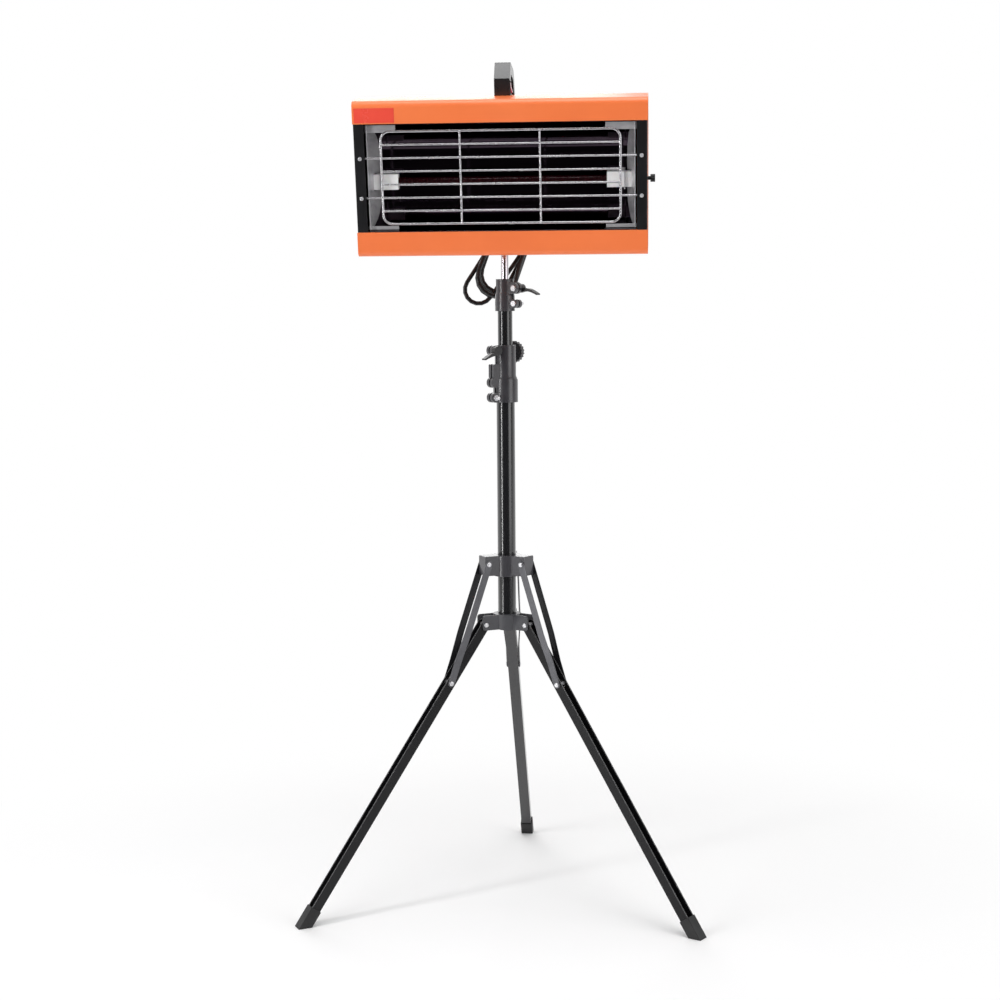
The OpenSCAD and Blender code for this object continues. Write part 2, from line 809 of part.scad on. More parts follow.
// Peg behind the adapter that the cord's loops hang on
module cord_hook() {
    color(steel) difference() {
        union() {
            along_y([hook_x, 0, hook_z]) cylinder(h = hook_end, r = hook_r);
            along_y([hook_x, hook_end - 3, hook_z]) cylinder(h = 3, r = hook_r + 5);
        }
        translate([0, 0, adapter_z - 1]) cylinder(h = adapter_h + 2, r = adapter_r);
    }
}

// Head: yoke and tilt fixings
module tilt_bracket() {
    in_y = bracket_back + bracket_t;
    color(satin) at_tilt_axis() difference() {
        union() {
            translate([-30, bracket_back, 3]) cube([60, bracket_t, 46]);
            for (s = [-1, 1]) {
                from = s > 0 ? cheek_in : -cheek_in - bracket_t;
                yz_slab(from, from + bracket_t) {
                    circle(tongue_r);
                    polygon([[in_y - eps, 4], [in_y - eps, 44], [2, tongue_r - 0.2], [-2, -tongue_r + 0.2]]);
                }
            }
        }
        along_x([-20, 0, 0]) cylinder(h = 40, r = tilt_bolt_r + seat_gap);
        for (p = bracket_holes()) {
            along_y([p[0], bracket_back - 1, p[1]]) cylinder(h = bracket_t + 2, r = 2.1);
        }
    }
}

function bracket_holes() = [for (x = [-23, 23], z = [12, 40]) [x, z]];

module tilt_bolt() {
    left = cheek_in + bracket_t;
    color(steel) at_tilt_axis() {
        along_x([-left - 5, 0, 0]) cylinder(h = 5, r = 13 / sqrt(3), $fn = 6);
        along_x([-left - eps, 0, 0]) cylinder(h = 2 * left + tilt_knob_bore, r = tilt_bolt_r);
    }
}

module tilt_knob() {
    color(black) at_tilt_axis() along_x([cheek_in + bracket_t + side_gap, 0, 0]) difference() {
        union() {
            cylinder(h = 4, r = 8);
            translate([0, 0, 4]) cylinder(h = 10, r = 15);
        }
        for (i = [0 : 5]) {
            rotate([0, 0, i * 60]) translate([17.5, 0, 3]) cylinder(h = 12, r = 6, $fn = 32);
        }
        translate([0, 0, -1]) cylinder(h = tilt_knob_bore + 1, r = tilt_bolt_r + pin_gap);
    }
}

// Head: housing and end caps
// The case's section, set in by d, with its front bends
function case_points(d) =
    let (inner = inset(outline, d))
    concat(
        bend([bend_r, ht - bend_r], bend_r - d, 180),
        [for (i = [1 : 4]) inner[i]],
        bend([bend_r, bend_r - hb], bend_r - d, 270)
    );

// A quarter turn of points, clockwise from the given angle
function bend(centre, r, from) = [
    for (i = [0 : bend_steps])
        let (a = from - 90 * i / bend_steps) centre + r * [cos(a), sin(a)]
];

module housing() {
    color(orange) in_head() difference() {
        yz_slab(-hw, hw) polygon(case_points(0));
        yz_slab(-hw - 1, hw + 1) polygon(case_points(sheet_t));
        yz_slab(-hw - 1, hw + 1) translate([-1, -mouth]) square([sheet_t + 2, 2 * mouth]);
        for (p = bracket_holes()) {
            along_y([p[0] - head_shift, head_d - 10, p[1] - head_rise]) cylinder(h = 12, r = 2.1);
        }
        for (s = [-1, 1], z = back_screw_rows()) {
            along_y([s * screw_x, head_d - 5, z]) cylinder(h = 7, r = 2.1);
        }
        along_y([gland_at[0], head_d - 10, gland_at[2]]) cylinder(h = 12, r = 5 + seat_gap);
        for (x = vent_rows()) {
            vent_slot(x);
        }
        translate([handle_bolt_x, handle_bolt_y, ht - 5]) cylinder(h = 10, r = 2.1);
        translate([handle_x, handle_foot_y(), handle_foot_z()]) rotate([slope_angle() - 90, 0, 0])
            translate([0, 0, -8]) cylinder(h = 12, r = 2.1);
    }
}

function vent_rows() = [for (i = [-7 : 7]) if (abs(i) > 2) i * 19];

// Slots through the sloping upper back, for the air that cools the case
module vent_slot(x) {
    depth = head_d - flat_d;
    translate([x, flat_d + depth / 2, (ht + bh) / 2]) rotate([slope_angle() - 90, 0, 0])
        translate([0, 0, -6]) linear_extrude(12) stadium([0, -9], [0, 9], 2);
}

function slope_angle() = atan2(head_d - flat_d, ht - bh);
function handle_foot_y() = head_d - 6;
function handle_foot_z() = bh + 6 * (ht - bh) / (head_d - flat_d);

// End caps are trays inside the sheet, with their fronts flush between the lips
module cap_section(wall) {
    half = mouth - lip_fit - wall;
    depth = cap_fit + wall;
    polygon(concat(case_points(depth), [[depth, -half], [wall, -half], [wall, half], [depth, half]]));
}

module end_cap(s) {
    depth = cap_out - cap_wall;
    color(black) in_head() difference() {
        yz_slab(s > 0 ? body_half : -cap_out, s > 0 ? cap_out : -body_half) cap_section(0);
        yz_slab(s > 0 ? body_half - 1 : -depth, s > 0 ? depth : -body_half + 1) cap_section(cap_wall);
        for (row = [-1, 1]) {
            along_y([s * screw_x, -1, row * 1.5 * guard_pitch]) cylinder(h = cap_wall + 2, r = 2 + seat_gap);
        }
        for (z = back_screw_rows()) {
            along_y([s * screw_x, head_d - 10, z]) cylinder(h = 12, r = 2 + seat_gap);
        }
        if (s > 0) {
            along_x([hw - 10, side_screw_y, lamp_z]) cylinder(h = 20, r = 2.5 + pin_gap);
        }
    }
}

function back_screw_rows() = [-40, 40];

module case_screws() {
    color(steel) in_head() {
        for (s = [-1, 1], z = back_screw_rows()) {
            translate([s * screw_x, head_d, z]) rotate([-90, 0, 0]) pan_screw(3.6, 1.8, 2, 8);
        }
        for (p = bracket_holes()) {
            translate([p[0] - head_shift, head_d + bracket_t, p[1] - head_rise]) rotate([-90, 0, 0])
                pan_screw(3.6, 1.8, 2, 8);
        }
        translate([handle_bolt_x, handle_bolt_y, ht - sheet_t]) rotate([180, 0, 0]) pan_screw(3.4, 2, 2, 9);
        translate([handle_x, handle_foot_y(), handle_foot_z()]) rotate([slope_angle() + 90, 0, 0])
            translate([0, 0, sheet_t]) pan_screw(4, 2, 2, 9);
    }
}

module side_screw() {
    color(black) in_head() along_x([hw, side_screw_y, lamp_z]) {
        translate([0, 0, -8]) cylinder(h = 12, r = 2.5);
        translate([0, 0, 3]) knurled_disc(5, 6, 10);
    }
}

module label_plate() {
    color([0.8, 0.06, 0.12]) in_head()
        translate([-hw + 2.5, -label_t, mouth + 1.5]) cube([52, label_t, lip_top - bend_r - 2]);
}

// Head: reflector and lamp
function trough_half() = concat(
    [[sheet_t, trough_edge + 12], [sheet_t, trough_edge]],
    [for (i = [1 : trough_steps])
        let (a = 90 * i / trough_steps)
        [sheet_t + (trough_d - sheet_t) * sin(a), trough_back + (trough_edge - trough_back) * cos(a)]]
);
function trough() = concat(trough_half(), backwards(mirrored(trough_half())));

module reflector() {
    face = trough();
    color([0.3, 0.28, 0.33]) in_head() yz_slab(-end_plate_x, end_plate_x)
        polygon(concat(face, backwards(beside(face, -reflector_t))));
}

// Bright plates that lean outwards at the trough's ends, with holes for the ceramic ends
module end_reflectors() {
    half_hole = ceramic_h / 2 + 1;
    deep_hole = ceramic_d / 2 + 1;
    inner = end_plate_back - end_plate_gap;
    lean = atan2(end_plate_x - end_plate_back, trough_d - sheet_t);
    color(chrome) in_head() for (s = [-1, 1]) {
        difference() {
            intersection() {
                yz_slab(s > 0 ? inner : -end_plate_x, s > 0 ? end_plate_x : -inner)
                    polygon(inset(end_plate_edge(), side_gap));
                translate([s * end_plate_back, trough_d, 0]) rotate([0, 0, s * lean])
                    translate([-end_plate_t / 2, -2 * trough_d, -mouth])
                        cube([end_plate_t, 4 * trough_d, 2 * mouth]);
            }
            translate([s * end_plate_back - trough_d / 2, lamp_y - deep_hole, lamp_z - half_hole])
                cube([trough_d, 2 * deep_hole, 2 * half_hole]);
        }
    }
}

// The trough's section behind the guard
function end_plate_edge() =
    let (side = concat(
        [[end_plate_front, trough_at(end_plate_front)]],
        [for (p = trough_half()) if (p[0] > end_plate_front + 1) p]
    ))
    concat(side, backwards(mirrored(side)));

// Half the trough's height at depth y, along its first flat facet
function trough_at(y) =
    let (a = trough_half()[1], b = trough_half()[2]) a[1] + (b[1] - a[1]) * (y - a[0]) / (b[0] - a[0]);

module quartz_tube() {
    color([0.35, 0.06, 0.07]) in_head() along_x([-filament_end, lamp_y, lamp_z]) difference() {
        cylinder(h = 2 * filament_end, r = quartz_r);
        translate([0, 0, 1.5]) cylinder(h = 2 * filament_end - 3, r = quartz_r - quartz_wall);
    }
}

module filament() {
    spacers = 15;
    color([0.55, 0.5, 0.45]) in_head() along_x([-filament_end + 1.5, lamp_y, lamp_z]) {
        cylinder(h = 2 * filament_end - 3, r = 0.9);
        for (i = [1 : spacers]) {
            translate([0, 0, i * (2 * filament_end - 3) / (spacers + 1) - 0.6])
                cylinder(h = 1.2, r = quartz_r - quartz_wall - 0.3);
        }
    }
}

module ceramic_ends() {
    color([0.92, 0.91, 0.88]) in_head() for (s = [-1, 1]) {
        from = s > 0 ? lamp_half : -lamp_half - ceramic_len;
        difference() {
            translate([from, lamp_y - ceramic_d / 2, lamp_z - ceramic_h / 2])
                cube([ceramic_len, ceramic_d, ceramic_h]);
            along_x([s > 0 ? lamp_half - 1 : -filament_end - seat_gap, lamp_y, lamp_z])
                cylinder(h = filament_end - lamp_half + 1 + seat_gap, r = quartz_r + seat_gap);
        }
    }
}

// Steel clips that carry the ceramic ends on the reflector's back
module lamp_brackets() {
    half = ceramic_h / 2 + 2;
    color(chrome) in_head() for (s = [-1, 1]) {
        from = s > 0 ? holder_x : -holder_x - lamp_plate_t;
        difference() {
            union() {
                translate([from, lamp_y - ceramic_d / 2 - 3, lamp_z - half])
                    cube([lamp_plate_t, trough_d - lamp_y + ceramic_d / 2 + 3, 2 * half]);
                translate([s > 0 ? from - 10 : from, trough_d - lamp_plate_t, lamp_z - half])
                    cube([10 + lamp_plate_t, lamp_plate_t, 2 * half]);
            }
            translate([from - 1, lamp_y - ceramic_d / 2 - seat_gap, lamp_z - ceramic_h / 2 - seat_gap])
                cube([lamp_plate_t + 2, ceramic_d + 2 * seat_gap, ceramic_h + 2 * seat_gap]);
        }
    }
}

module terminal_block() {
    color([0.9, 0.88, 0.82]) in_head() difference() {
        translate([58, head_d - sheet_t - 18, -10]) cube([42, 18, 20]);
        for (i = [0 : 2]) {
            translate([65 + i * 14, head_d - sheet_t - 19, 0]) rotate([-90, 0, 0]) cylinder(h = 10, r = 2.5);
        }
    }
}

module cable_gland() {
    color(black) in_head() along_y(gland_at) {
        translate([0, 0, -sheet_t - 1]) cylinder(h = sheet_t + 2, r = 5);
        cylinder(h = 5, r = 9, $fn = 6);
        translate([0, 0, 5 - eps]) cylinder(h = gland_len - 5, r1 = 7.5, r2 = 5.5);
    }
}

// Head: wire guard
module wire(p, len, d) {
    along_x(p) cylinder(h = len, r = d / 2, $fn = 24);
}

module guard() {
    gw = guard_w / 2;
    gh = guard_half_h;
    r = guard_corner;
    color(chrome) in_head() translate([0, guard_y, 0]) {
        difference() {
            union() {
                for (s = [-1, 1]) {
                    wire([-gw + r, 0, s * gh], guard_w - 2 * r, frame_wire);
                    translate([s * gw, 0, -gh + r]) cylinder(h = 2 * gh - 2 * r, r = frame_wire / 2, $fn = 24);
                }
                for (sx = [-1, 1], sz = [-1, 1]) {
                    translate([sx * (gw - r), 0, sz * (gh - r)])
                        rotate([90, 0, 0]) rotate([0, 0, corner_turn(sx, sz)])
                        rotate_extrude(angle = 90, $fn = 64) translate([r, 0]) circle(frame_wire / 2, $fn = 24);
                }
                for (row = guard_rows) {
                    if (abs(row) < 3) {
                        long = abs(row) == 1.5;
                        half = long ? screw_x - eye_r + 0.5 : gw;
                        wire([-half, 0, row * guard_pitch], 2 * half, thin_wire);
                    }
                }
                for (sx = [-1, 1], row = [-1.5, 1.5]) {
                    along_y([sx * screw_x, -eye_t / 2, row * guard_pitch]) cylinder(h = eye_t, r = eye_r);
                }
                for (x = [-guard_w / 6, guard_w / 6]) {
                    translate([x, -frame_wire / 2 - thin_wire / 2 + 0.5, -gh - 1])
                        cylinder(h = 2 * gh + 2, r = thin_wire / 2, $fn = 24);
                }
            }
            for (sx = [-1, 1], row = [-1.5, 1.5]) {
                along_y([sx * screw_x, -3, row * guard_pitch]) cylinder(h = 6, r = 2 + seat_gap);
            }
        }
    }
}

function corner_turn(sx, sz) = sx > 0 ? (sz > 0 ? 0 : 270) : (sz > 0 ? 90 : 180);

module guard_screws() {
    color(steel) in_head() for (sx = [-1, 1], row = [-1.5, 1.5]) {
        translate([sx * screw_x, 0, row * guard_pitch]) rotate([90, 0, 0]) pan_screw(2.6, 1.8, 2, 9);
    }
}

// Head: handle over the upper back edge, and its switch
module handle() {
    y0 = handle_y;
    y1 = handle_y + handle_len;
    foot_y = handle_foot_y();
    foot_z = handle_foot_z();
    k = (ht - bh) / (head_d - flat_d);
    corners = [
        [y0, ht], [y0, ht + handle_face], [y0 + handle_shoulder, handle_top],
        [y1 - 21, handle_top - handle_fall], [y1, ht - 12], [y1 - 16, foot_z - 8],
        [foot_y + 5, foot_z - 5 * k]
    ];
    outside = filleted(corners, [0, 2, 4, 28, 12, 10, 0]);
    inside = filleted(beside(corners, grip_t), [0, 4, 5, 14, 5, 5, 0]);
    inner_foot = [y0 + grip_t, ht - k * (y0 + grip_t - flat_d)];
    color(black) in_head() difference() {
        yz_slab(handle_x - handle_w / 2, handle_x + handle_w / 2) polygon(concat(
            outside,
            [[foot_y - 9, foot_z + 9 * k]],
            backwards([for (i = [1 : len(inside) - 2]) inside[i]]),
            [inner_foot, [flat_d, ht]]
        ));
        translate([handle_x + handle_w / 2 - rocker_pocket, rocker_y, rocker_z])
            translate([0, -rocker_w / 2 - side_gap, -rocker_h / 2 - side_gap])
            cube([rocker_pocket + 1, rocker_w + 2 * side_gap, rocker_h + 2 * side_gap]);
        translate([handle_bolt_x, handle_bolt_y, ht - eps]) cylinder(h = 8, r = 2 + seat_gap);
        translate([handle_x, foot_y, foot_z]) rotate([slope_angle() - 90, 0, 0])
            translate([0, 0, -4]) cylinder(h = 12, r = 2 + seat_gap);
    }
}

module rocker() {
    face = handle_x + handle_w / 2;
    half = rocker_h / 2;
    color([0.8, 0.05, 0.1]) in_head() translate([face, rocker_y - rocker_w / 2, rocker_z])
        rotate([90, 0, 0]) translate([0, 0, -rocker_w]) linear_extrude(rocker_w) polygon([
            [-6, -half + 2], [0, -half + 0.4], [3.2, -half + 0.8], [1.2, 0.5],
            [0.8, half - 0.8], [-1, half - 0.4], [-6, half - 2]
        ]);
}

// Cord: a tube swept along a list of points
function sweep_dir(p, i) = unit(p[min(i + 1, len(p) - 1)] - p[max(i - 1, 0)]);
function ring(c, t, up, r, sides) =
    let (n = unit(cross(t, up)), m = cross(t, n))
    [for (j = [0 : sides - 1]) c + r * (n * cos(360 * j / sides) + m * sin(360 * j / sides))];

module swept_tube(path, r, sides, up) {
    n = len(path);
    points = [for (i = [0 : n - 1]) each ring(path[i], sweep_dir(path, i), up, r, sides)];
    walls = [
        for (i = [0 : n - 2], j = [0 : sides - 1])
            let (a = i * sides + j, b = i * sides + (j + 1) % sides, c = a + sides, d = b + sides)
            each [[a, b, d], [a, d, c]]
    ];
    start = [for (j = [1 : sides - 2]) [0, j + 1, j]];
    last = (n - 1) * sides;
    finish = [for (j = [1 : sides - 2]) [last, last + j, last + j + 1]];
    polyhedron(points, concat(walls, start, finish));
}

// A smooth line through hand-chosen points
function spline_at(a, b, c, d, t) =
    0.5 * (2 * b + (c - a) * t + (2 * a - 5 * b + 4 * c - d) * t * t + (3 * b - a - 3 * c + d) * t * t * t);
function smooth(p, steps) = [
    for (i = [0 : len(p) - 2], s = [0 : steps - 1])
        spline_at(p[max(i - 1, 0)], p[i], p[i + 1], p[min(i + 2, len(p) - 1)], s / steps),
    p[len(p) - 1]
];

// The hank: each loop is a long oval from the peg, in six stretches of a turn
function loop_size(i) = hank_loops[min(max(i, 0), hank_turns - 1) % len(hank_loops)];
function span(f, a, b) = min(max((f - a) / (b - a), 0), 1);
function eased(t) = t * t * (3 - 2 * t);
function oval(size, f) =
    let (
        r = size[0],
        e = [hook_x, hank_top - r],
        g = [size[1], adapter_z + size[2]],
        lean = atan2(e[1] - g[1], e[0] - g[0]),
        side = r * [cos(lean + 90), sin(lean + 90)]
    )
    f < 1 / 8 ? e + r * [cos(90 + lean * f * 8), sin(90 + lean * f * 8)]
    : f < 2 / 8 ? e + side + (g - e) * (f * 8 - 1)
    : f < 14 / 24 ? let (a = lean + 90 + 180 * (f - 6 / 24) * 3) g + r * [cos(a), sin(a)]
    : f < 18 / 24 ? g - side + (e - g) * (f * 6 - 3.5)
    : let (a = lean - 90 + (180 - lean) * (f * 4 - 3)) e + r * [cos(a), sin(a)];
function hank_y(u) = hank_first_y + hank_pitch * (floor(u) + eased(span(u - floor(u), 0.55, 0.97)));
function hank_at(u) =
    let (
        i = floor(u),
        f = u - i,
        t = eased(span(f, 0.55, 0.97)),
        p = (1 - t) * oval(loop_size(i), f) + t * oval(loop_size(i + 1), f)
    )
    [p[0], hank_y(u), p[1]];
hank_steps = 24;
hank_tail = 1 / 24;
hank_body = [
    for (i = [0 : hank_turns * hank_steps]) hank_at(i / hank_steps),
    hank_at(hank_turns + hank_tail)
];
hank_last = len(hank_body) - 1;
plug_dir = unit(hank_body[hank_last] - hank_body[hank_last - 1]) * [[1, 0, 0], [0, 0, 0], [0, 0, 1]];
hank_path = concat(
    [[hook_x + cord_d, hank_first_y, hank_top]],
    hank_body,
    [hank_body[len(hank_body) - 1] + cord_d * unit(plug_dir)]
);
plug_at = hank_path[len(hank_path) - 1];
function hank_clearance() = min([
    for (i = [0 : len(hank_path) - 1])
        for (j = [i + hank_steps / 2 : 1 : len(hank_path) - 1]) norm(hank_path[i] - hank_path[j])
]) - cord_d;
echo("least gap between the hank's loops", hank_clearance());

gland_tip = head_point(gland_at + [0, gland_len, 0]);
gland_dir = head_dir([0, 1, 0]);
stretch_path = concat(
    [gland_tip],
    smooth(concat(
        [gland_tip + cord_d * gland_dir],
        stretch_points,
        [[hook_x + 2 * cord_d, hank_first_y, hank_top]]
    ), 3),
    [[hook_x + cord_d, hank_first_y, hank_top]]
);

module power_cord() {
    color(black) swept_tube(stretch_path, cord_r, 8, [0.3, 0, 1]);
}

module cord_hank() {
    color(black) swept_tube(hank_path, cord_r, 6, [0, 1, 0]);
}

module at_plug() {
    translate(plug_at) rotate([0, atan2(plug_dir[0], plug_dir[2]), 0]) children();
}

module plug() {
    color(black) at_plug() difference() {
        union() {
            cylinder(h = relief_len + eps, r1 = cord_r + 1.2, r2 = cord_r + 3);
            translate([0, 0, relief_len]) cylinder(h = 8, r1 = 11, r2 = plug_r);
            translate([0, 0, relief_len + 8 - eps]) cylinder(h = plug_len - 8, r = plug_r);
        }
        for (s = [-1, 1]) {
            translate([0, s * 9.5, relief_len + plug_len - 6]) cylinder(h = 7, r = 2.4 + seat_gap);
        }
    }
}

module plug_pins() {
    color(steel) at_plug() for (s = [-1, 1]) {
        translate([0, s * 9.5, relief_len + plug_len - 6]) {
            cylinder(h = 23, r = 2.4);
            translate([0, 0, 23 - eps]) cylinder(h = 2, r1 = 2.4, r2 = 1.4);
        }
    }
}

lower_tube();
tube_plug();
hub();
hub_rivets();
leg(1);  // leg_1
leg(2);  // leg_2
leg(3);  // leg_3
foot(1);  // foot_1
foot(2);  // foot_2
foot(3);  // foot_3
brace(1);  // brace_1
brace(2);  // brace_2
brace(3);  // brace_3
brace_pin(1);  // brace_pin_1
brace_pin(2);  // brace_pin_2
brace_pin(3);  // brace_pin_3
collar();
collar_rivets();
collar_screw();
lower_clamp();
lower_clamp_bolts();
lower_lever();
height_knob();
mid_tube();
mid_bush();
upper_clamp();
upper_clamp_bolts();
upper_lever();
top_rod();
rod_bush();
adapter();
adapter_screw();
cord_hook();
tilt_bracket();
tilt_bolt();
tilt_knob();
housing();
end_cap(-1);  // cap_left
end_cap(1);  // cap_right
case_screws();
side_screw();
label_plate();
reflector();
end_reflectors();
guard();
guard_screws();
quartz_tube();
filament();
ceramic_ends();
lamp_brackets();
terminal_block();
cable_gland();
handle();
rocker();
power_cord();
cord_hank();
plug();
plug_pins();
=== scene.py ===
# %% [markdown]
# A paint drying lamp on a folding tripod: a wide orange head with a quartz tube, a
# telescopic post and three channel legs. The engineering model comes in first as a
# fixed frame. Every node of it already has its true size and place, so the work here
# is finish, softened edges, small hardware and the mains cord.

# %% Load the frame
import json
import math
import bmesh
import bpy
from mathutils import Matrix, Vector


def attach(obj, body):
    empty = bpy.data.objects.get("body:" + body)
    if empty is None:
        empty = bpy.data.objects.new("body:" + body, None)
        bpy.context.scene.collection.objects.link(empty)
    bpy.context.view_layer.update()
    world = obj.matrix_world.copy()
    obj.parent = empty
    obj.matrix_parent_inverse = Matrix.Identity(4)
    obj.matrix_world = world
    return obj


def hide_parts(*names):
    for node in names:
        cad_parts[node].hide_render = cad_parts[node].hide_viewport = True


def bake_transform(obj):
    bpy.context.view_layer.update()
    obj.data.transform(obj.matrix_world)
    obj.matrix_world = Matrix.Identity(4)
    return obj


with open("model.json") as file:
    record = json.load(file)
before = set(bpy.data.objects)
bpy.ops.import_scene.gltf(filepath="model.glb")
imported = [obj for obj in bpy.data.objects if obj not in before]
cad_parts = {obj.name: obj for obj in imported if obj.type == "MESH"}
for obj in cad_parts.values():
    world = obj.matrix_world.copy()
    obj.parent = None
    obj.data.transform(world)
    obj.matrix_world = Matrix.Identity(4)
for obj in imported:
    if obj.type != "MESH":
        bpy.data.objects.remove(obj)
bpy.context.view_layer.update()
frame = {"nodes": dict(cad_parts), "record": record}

nodes = frame["nodes"]
slot_of = {part["node"]: part["material_slot"] for part in frame["record"]["subparts"]}
body_of = {node: body for body, names in frame["record"]["behaviour"]["bodies"].items() for node in names}

# %% [markdown]
# The camera stands two and a half metres in front, a little above the middle of the
# post, and looks slightly down. Its matrix is built from three directions, because a
# small roll is easier to give that way than as Euler angles.

# %% Camera
CAMERA_PLACE = Vector((-0.00875, -2.5, 0.8472))
DOWN_TILT = 0.1143  # radians below level
ROLL = 0.0076  # radians
SENSOR = 36  # millimetres across
FOCAL_SHARE = 1.8312  # focal length as a share of the sensor
VIEW_END = 50  # metres


def add_object(name, data):
    thing = bpy.data.objects.new(name, data)
    bpy.context.scene.collection.objects.link(thing)
    return thing


def look_camera():
    ahead = Vector((0, math.cos(DOWN_TILT), -math.sin(DOWN_TILT)))
    right = Vector((1, 0, 0))
    down = ahead.cross(right)
    side = math.cos(ROLL) * right + math.sin(ROLL) * down
    below = math.cos(ROLL) * down - math.sin(ROLL) * right
    data = bpy.data.cameras.new("camera")
    data.sensor_width = SENSOR
    data.lens = SENSOR * FOCAL_SHARE
    data.clip_end = VIEW_END
    camera = add_object("camera", data)
    turn = Matrix((side, -below, -ahead)).transposed()
    camera.matrix_world = Matrix.Translation(CAMERA_PLACE) @ turn.to_4x4()
    return camera


bpy.context.scene.camera = look_camera()
print("camera at", [round(v, 3) for v in bpy.context.scene.camera.matrix_world.translation])

# %% [markdown]
# The mains cord is one smooth line: straight out of the gland, round in a slack bow,
# and then round and round the peg behind the adapter. The bow's points are listed one
# by one. The hank's loops come from a formula, because each loop is a long oval of its
# own size that hangs from the peg. An oval's first eighth and last quarter lie over
# the peg. Between them the cord runs down, round the low bend and up again.

# %% Shape of the hank
CORD_R = 0.003
PEG_X, PEG_Z = 0.005, 0.9225
PEG_R = 0.003
PEG_GAP = 0.0003
ADAPTER_Z = 0.8985
HANK_TOP = PEG_Z + PEG_R + PEG_GAP + CORD_R
HANK_Y = 0.039
PITCH = 0.0068  # from one loop to the next along the peg
SHIFT_FROM, SHIFT_LENGTH = 0.55, 0.42  # the part of a loop that moves on to the next
# Each loop's radius, and where the middle of its low bend is in X and Z, in millimetres
LOOPS = [(27, -10, -33), (19, -36, -51), (24, -8, -30), (26, -12, -35), (22, -14, -32), (25, -9, -34)]
TURNS = len(LOOPS)
LOOP_STEPS = 24
TINY = 1e-9


def eased(t):
    t = min(max(t, 0.0), 1.0)
    return t * t * (3 - 2 * t)


def oval(loop, f):
    """The point at the share f of one loop, as X and Z."""
    r, low_x, low_z = (v / 1000 for v in loop)
    top = Vector((PEG_X, HANK_TOP - r))
    low = Vector((low_x, ADAPTER_Z + low_z))
    lean = math.atan2(top.y - low.y, top.x - low.x)

    def spoke(a):
        return r * Vector((math.cos(a), math.sin(a)))

    quarter = math.pi / 2
    if f < 1 / 8:
        return top + spoke(quarter + lean * f * 8)
    if f < 2 / 8:
        return top + spoke(lean + quarter) + (low - top) * (f * 8 - 1)
    if f < 14 / 24:
        return low + spoke(lean + quarter + math.pi * (f - 6 / 24) * 3)
    if f < 18 / 24:
        return low + spoke(lean - quarter) + (top - low) * (f * 6 - 3.5)
    return top + spoke(lean - quarter + (math.pi - lean) * (f * 4 - 3))


def hank_point(u):
    """The point of the hank after u loops."""
    i = int(math.floor(u + TINY))
    f = u - i
    t = eased((f - SHIFT_FROM) / SHIFT_LENGTH)
    here = oval(LOOPS[min(i, TURNS - 1)], f)
    following = oval(LOOPS[min(i + 1, TURNS - 1)], f)
    p = here.lerp(following, t)
    return Vector((p.x, HANK_Y + PITCH * (i + t), p.y))


hank_line = [hank_point(i / LOOP_STEPS) for i in range(TURNS * LOOP_STEPS + 1)]
hank_line.append(hank_point(TURNS + 1 / LOOP_STEPS))
print("hank points", len(hank_line))

# %% [markdown]
# The bow has few points, so a curve that passes through all of them rounds it off.
# The plug goes on where the hank ends and points the same way, but square to the peg.

# %% Route of the whole cord
GLAND_TIP = Vector((0.03878, -0.01571, 0.97345))
GLAND_WAY = Vector((0.08556, 0.97789, 0.19081))
BOW = [(45, 8, 976), (55, 24, 973), (65, 36, 962), (68, 42, 946), (60, 44, 932), (44, 42, 926)]  # mm
BOW_STEPS = 3
LEAD_IN = 4 * CORD_R
STRAIGHT = 2 * CORD_R


def smooth_line(points, steps):
    line = []
    for i in range(len(points) - 1):
        a, b = points[max(i - 1, 0)], points[i]
        c, d = points[i + 1], points[min(i + 2, len(points) - 1)]
        for s in range(steps):
            t = s / steps
            line.append(0.5 * (2 * b + (c - a) * t + (2 * a - 5 * b + 4 * c - d) * t * t
                               + (3 * b - a - 3 * c + d) * t ** 3))
    return line + [points[-1]]


bow_points = ([GLAND_TIP + STRAIGHT * GLAND_WAY] + [Vector(p) / 1000 for p in BOW]
              + [Vector((PEG_X + LEAD_IN, HANK_Y, HANK_TOP))])
plug_way = (hank_line[-1] - hank_line[-2]) * Vector((1, 0, 1))
plug_way.normalize()
plug_at = hank_line[-1] + STRAIGHT * plug_way
cord_line = [GLAND_TIP] + smooth_line(bow_points, BOW_STEPS)
cord_line += [Vector((PEG_X + STRAIGHT, HANK_Y, HANK_TOP))] + hank_line + [plug_at]

# %% [markdown]
# The cord could stay a curve, but its free stretch has to bend when the head tilts,
# and that needs a mesh. So a curve is bevelled round the line and turned into a mesh
# once.

# %% Cord
SIDES_PER_QUARTER = 3


def link(name, mesh, body):
    """Adds a piece that rides on a body, when one is given."""
    piece = add_object(name, mesh)
    if body:
        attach(piece, body)
    return piece


def tube_mesh(name, points, radius):
    curve = bpy.data.curves.new(name, "CURVE")
    curve.dimensions = "3D"
    spline = curve.splines.new("POLY")
    spline.points.add(len(points) - 1)
    for point, p in zip(spline.points, points):
        point.co = (*p, 1)
    curve.bevel_depth = radius
    curve.bevel_resolution = SIDES_PER_QUARTER
    curve.use_fill_caps = True
    holder = add_object(name, curve)
    bpy.context.view_layer.update()
    mesh = bpy.data.meshes.new_from_object(holder.evaluated_get(bpy.context.evaluated_depsgraph_get()))
    bpy.data.objects.remove(holder)
    mesh.name = name
    return mesh


cord = link("mains_cord", tube_mesh("mains_cord", cord_line, CORD_R), None)
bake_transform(cord)
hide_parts("power_cord", "cord_hank")
print("cord mesh", len(cord.data.polygons), "faces")

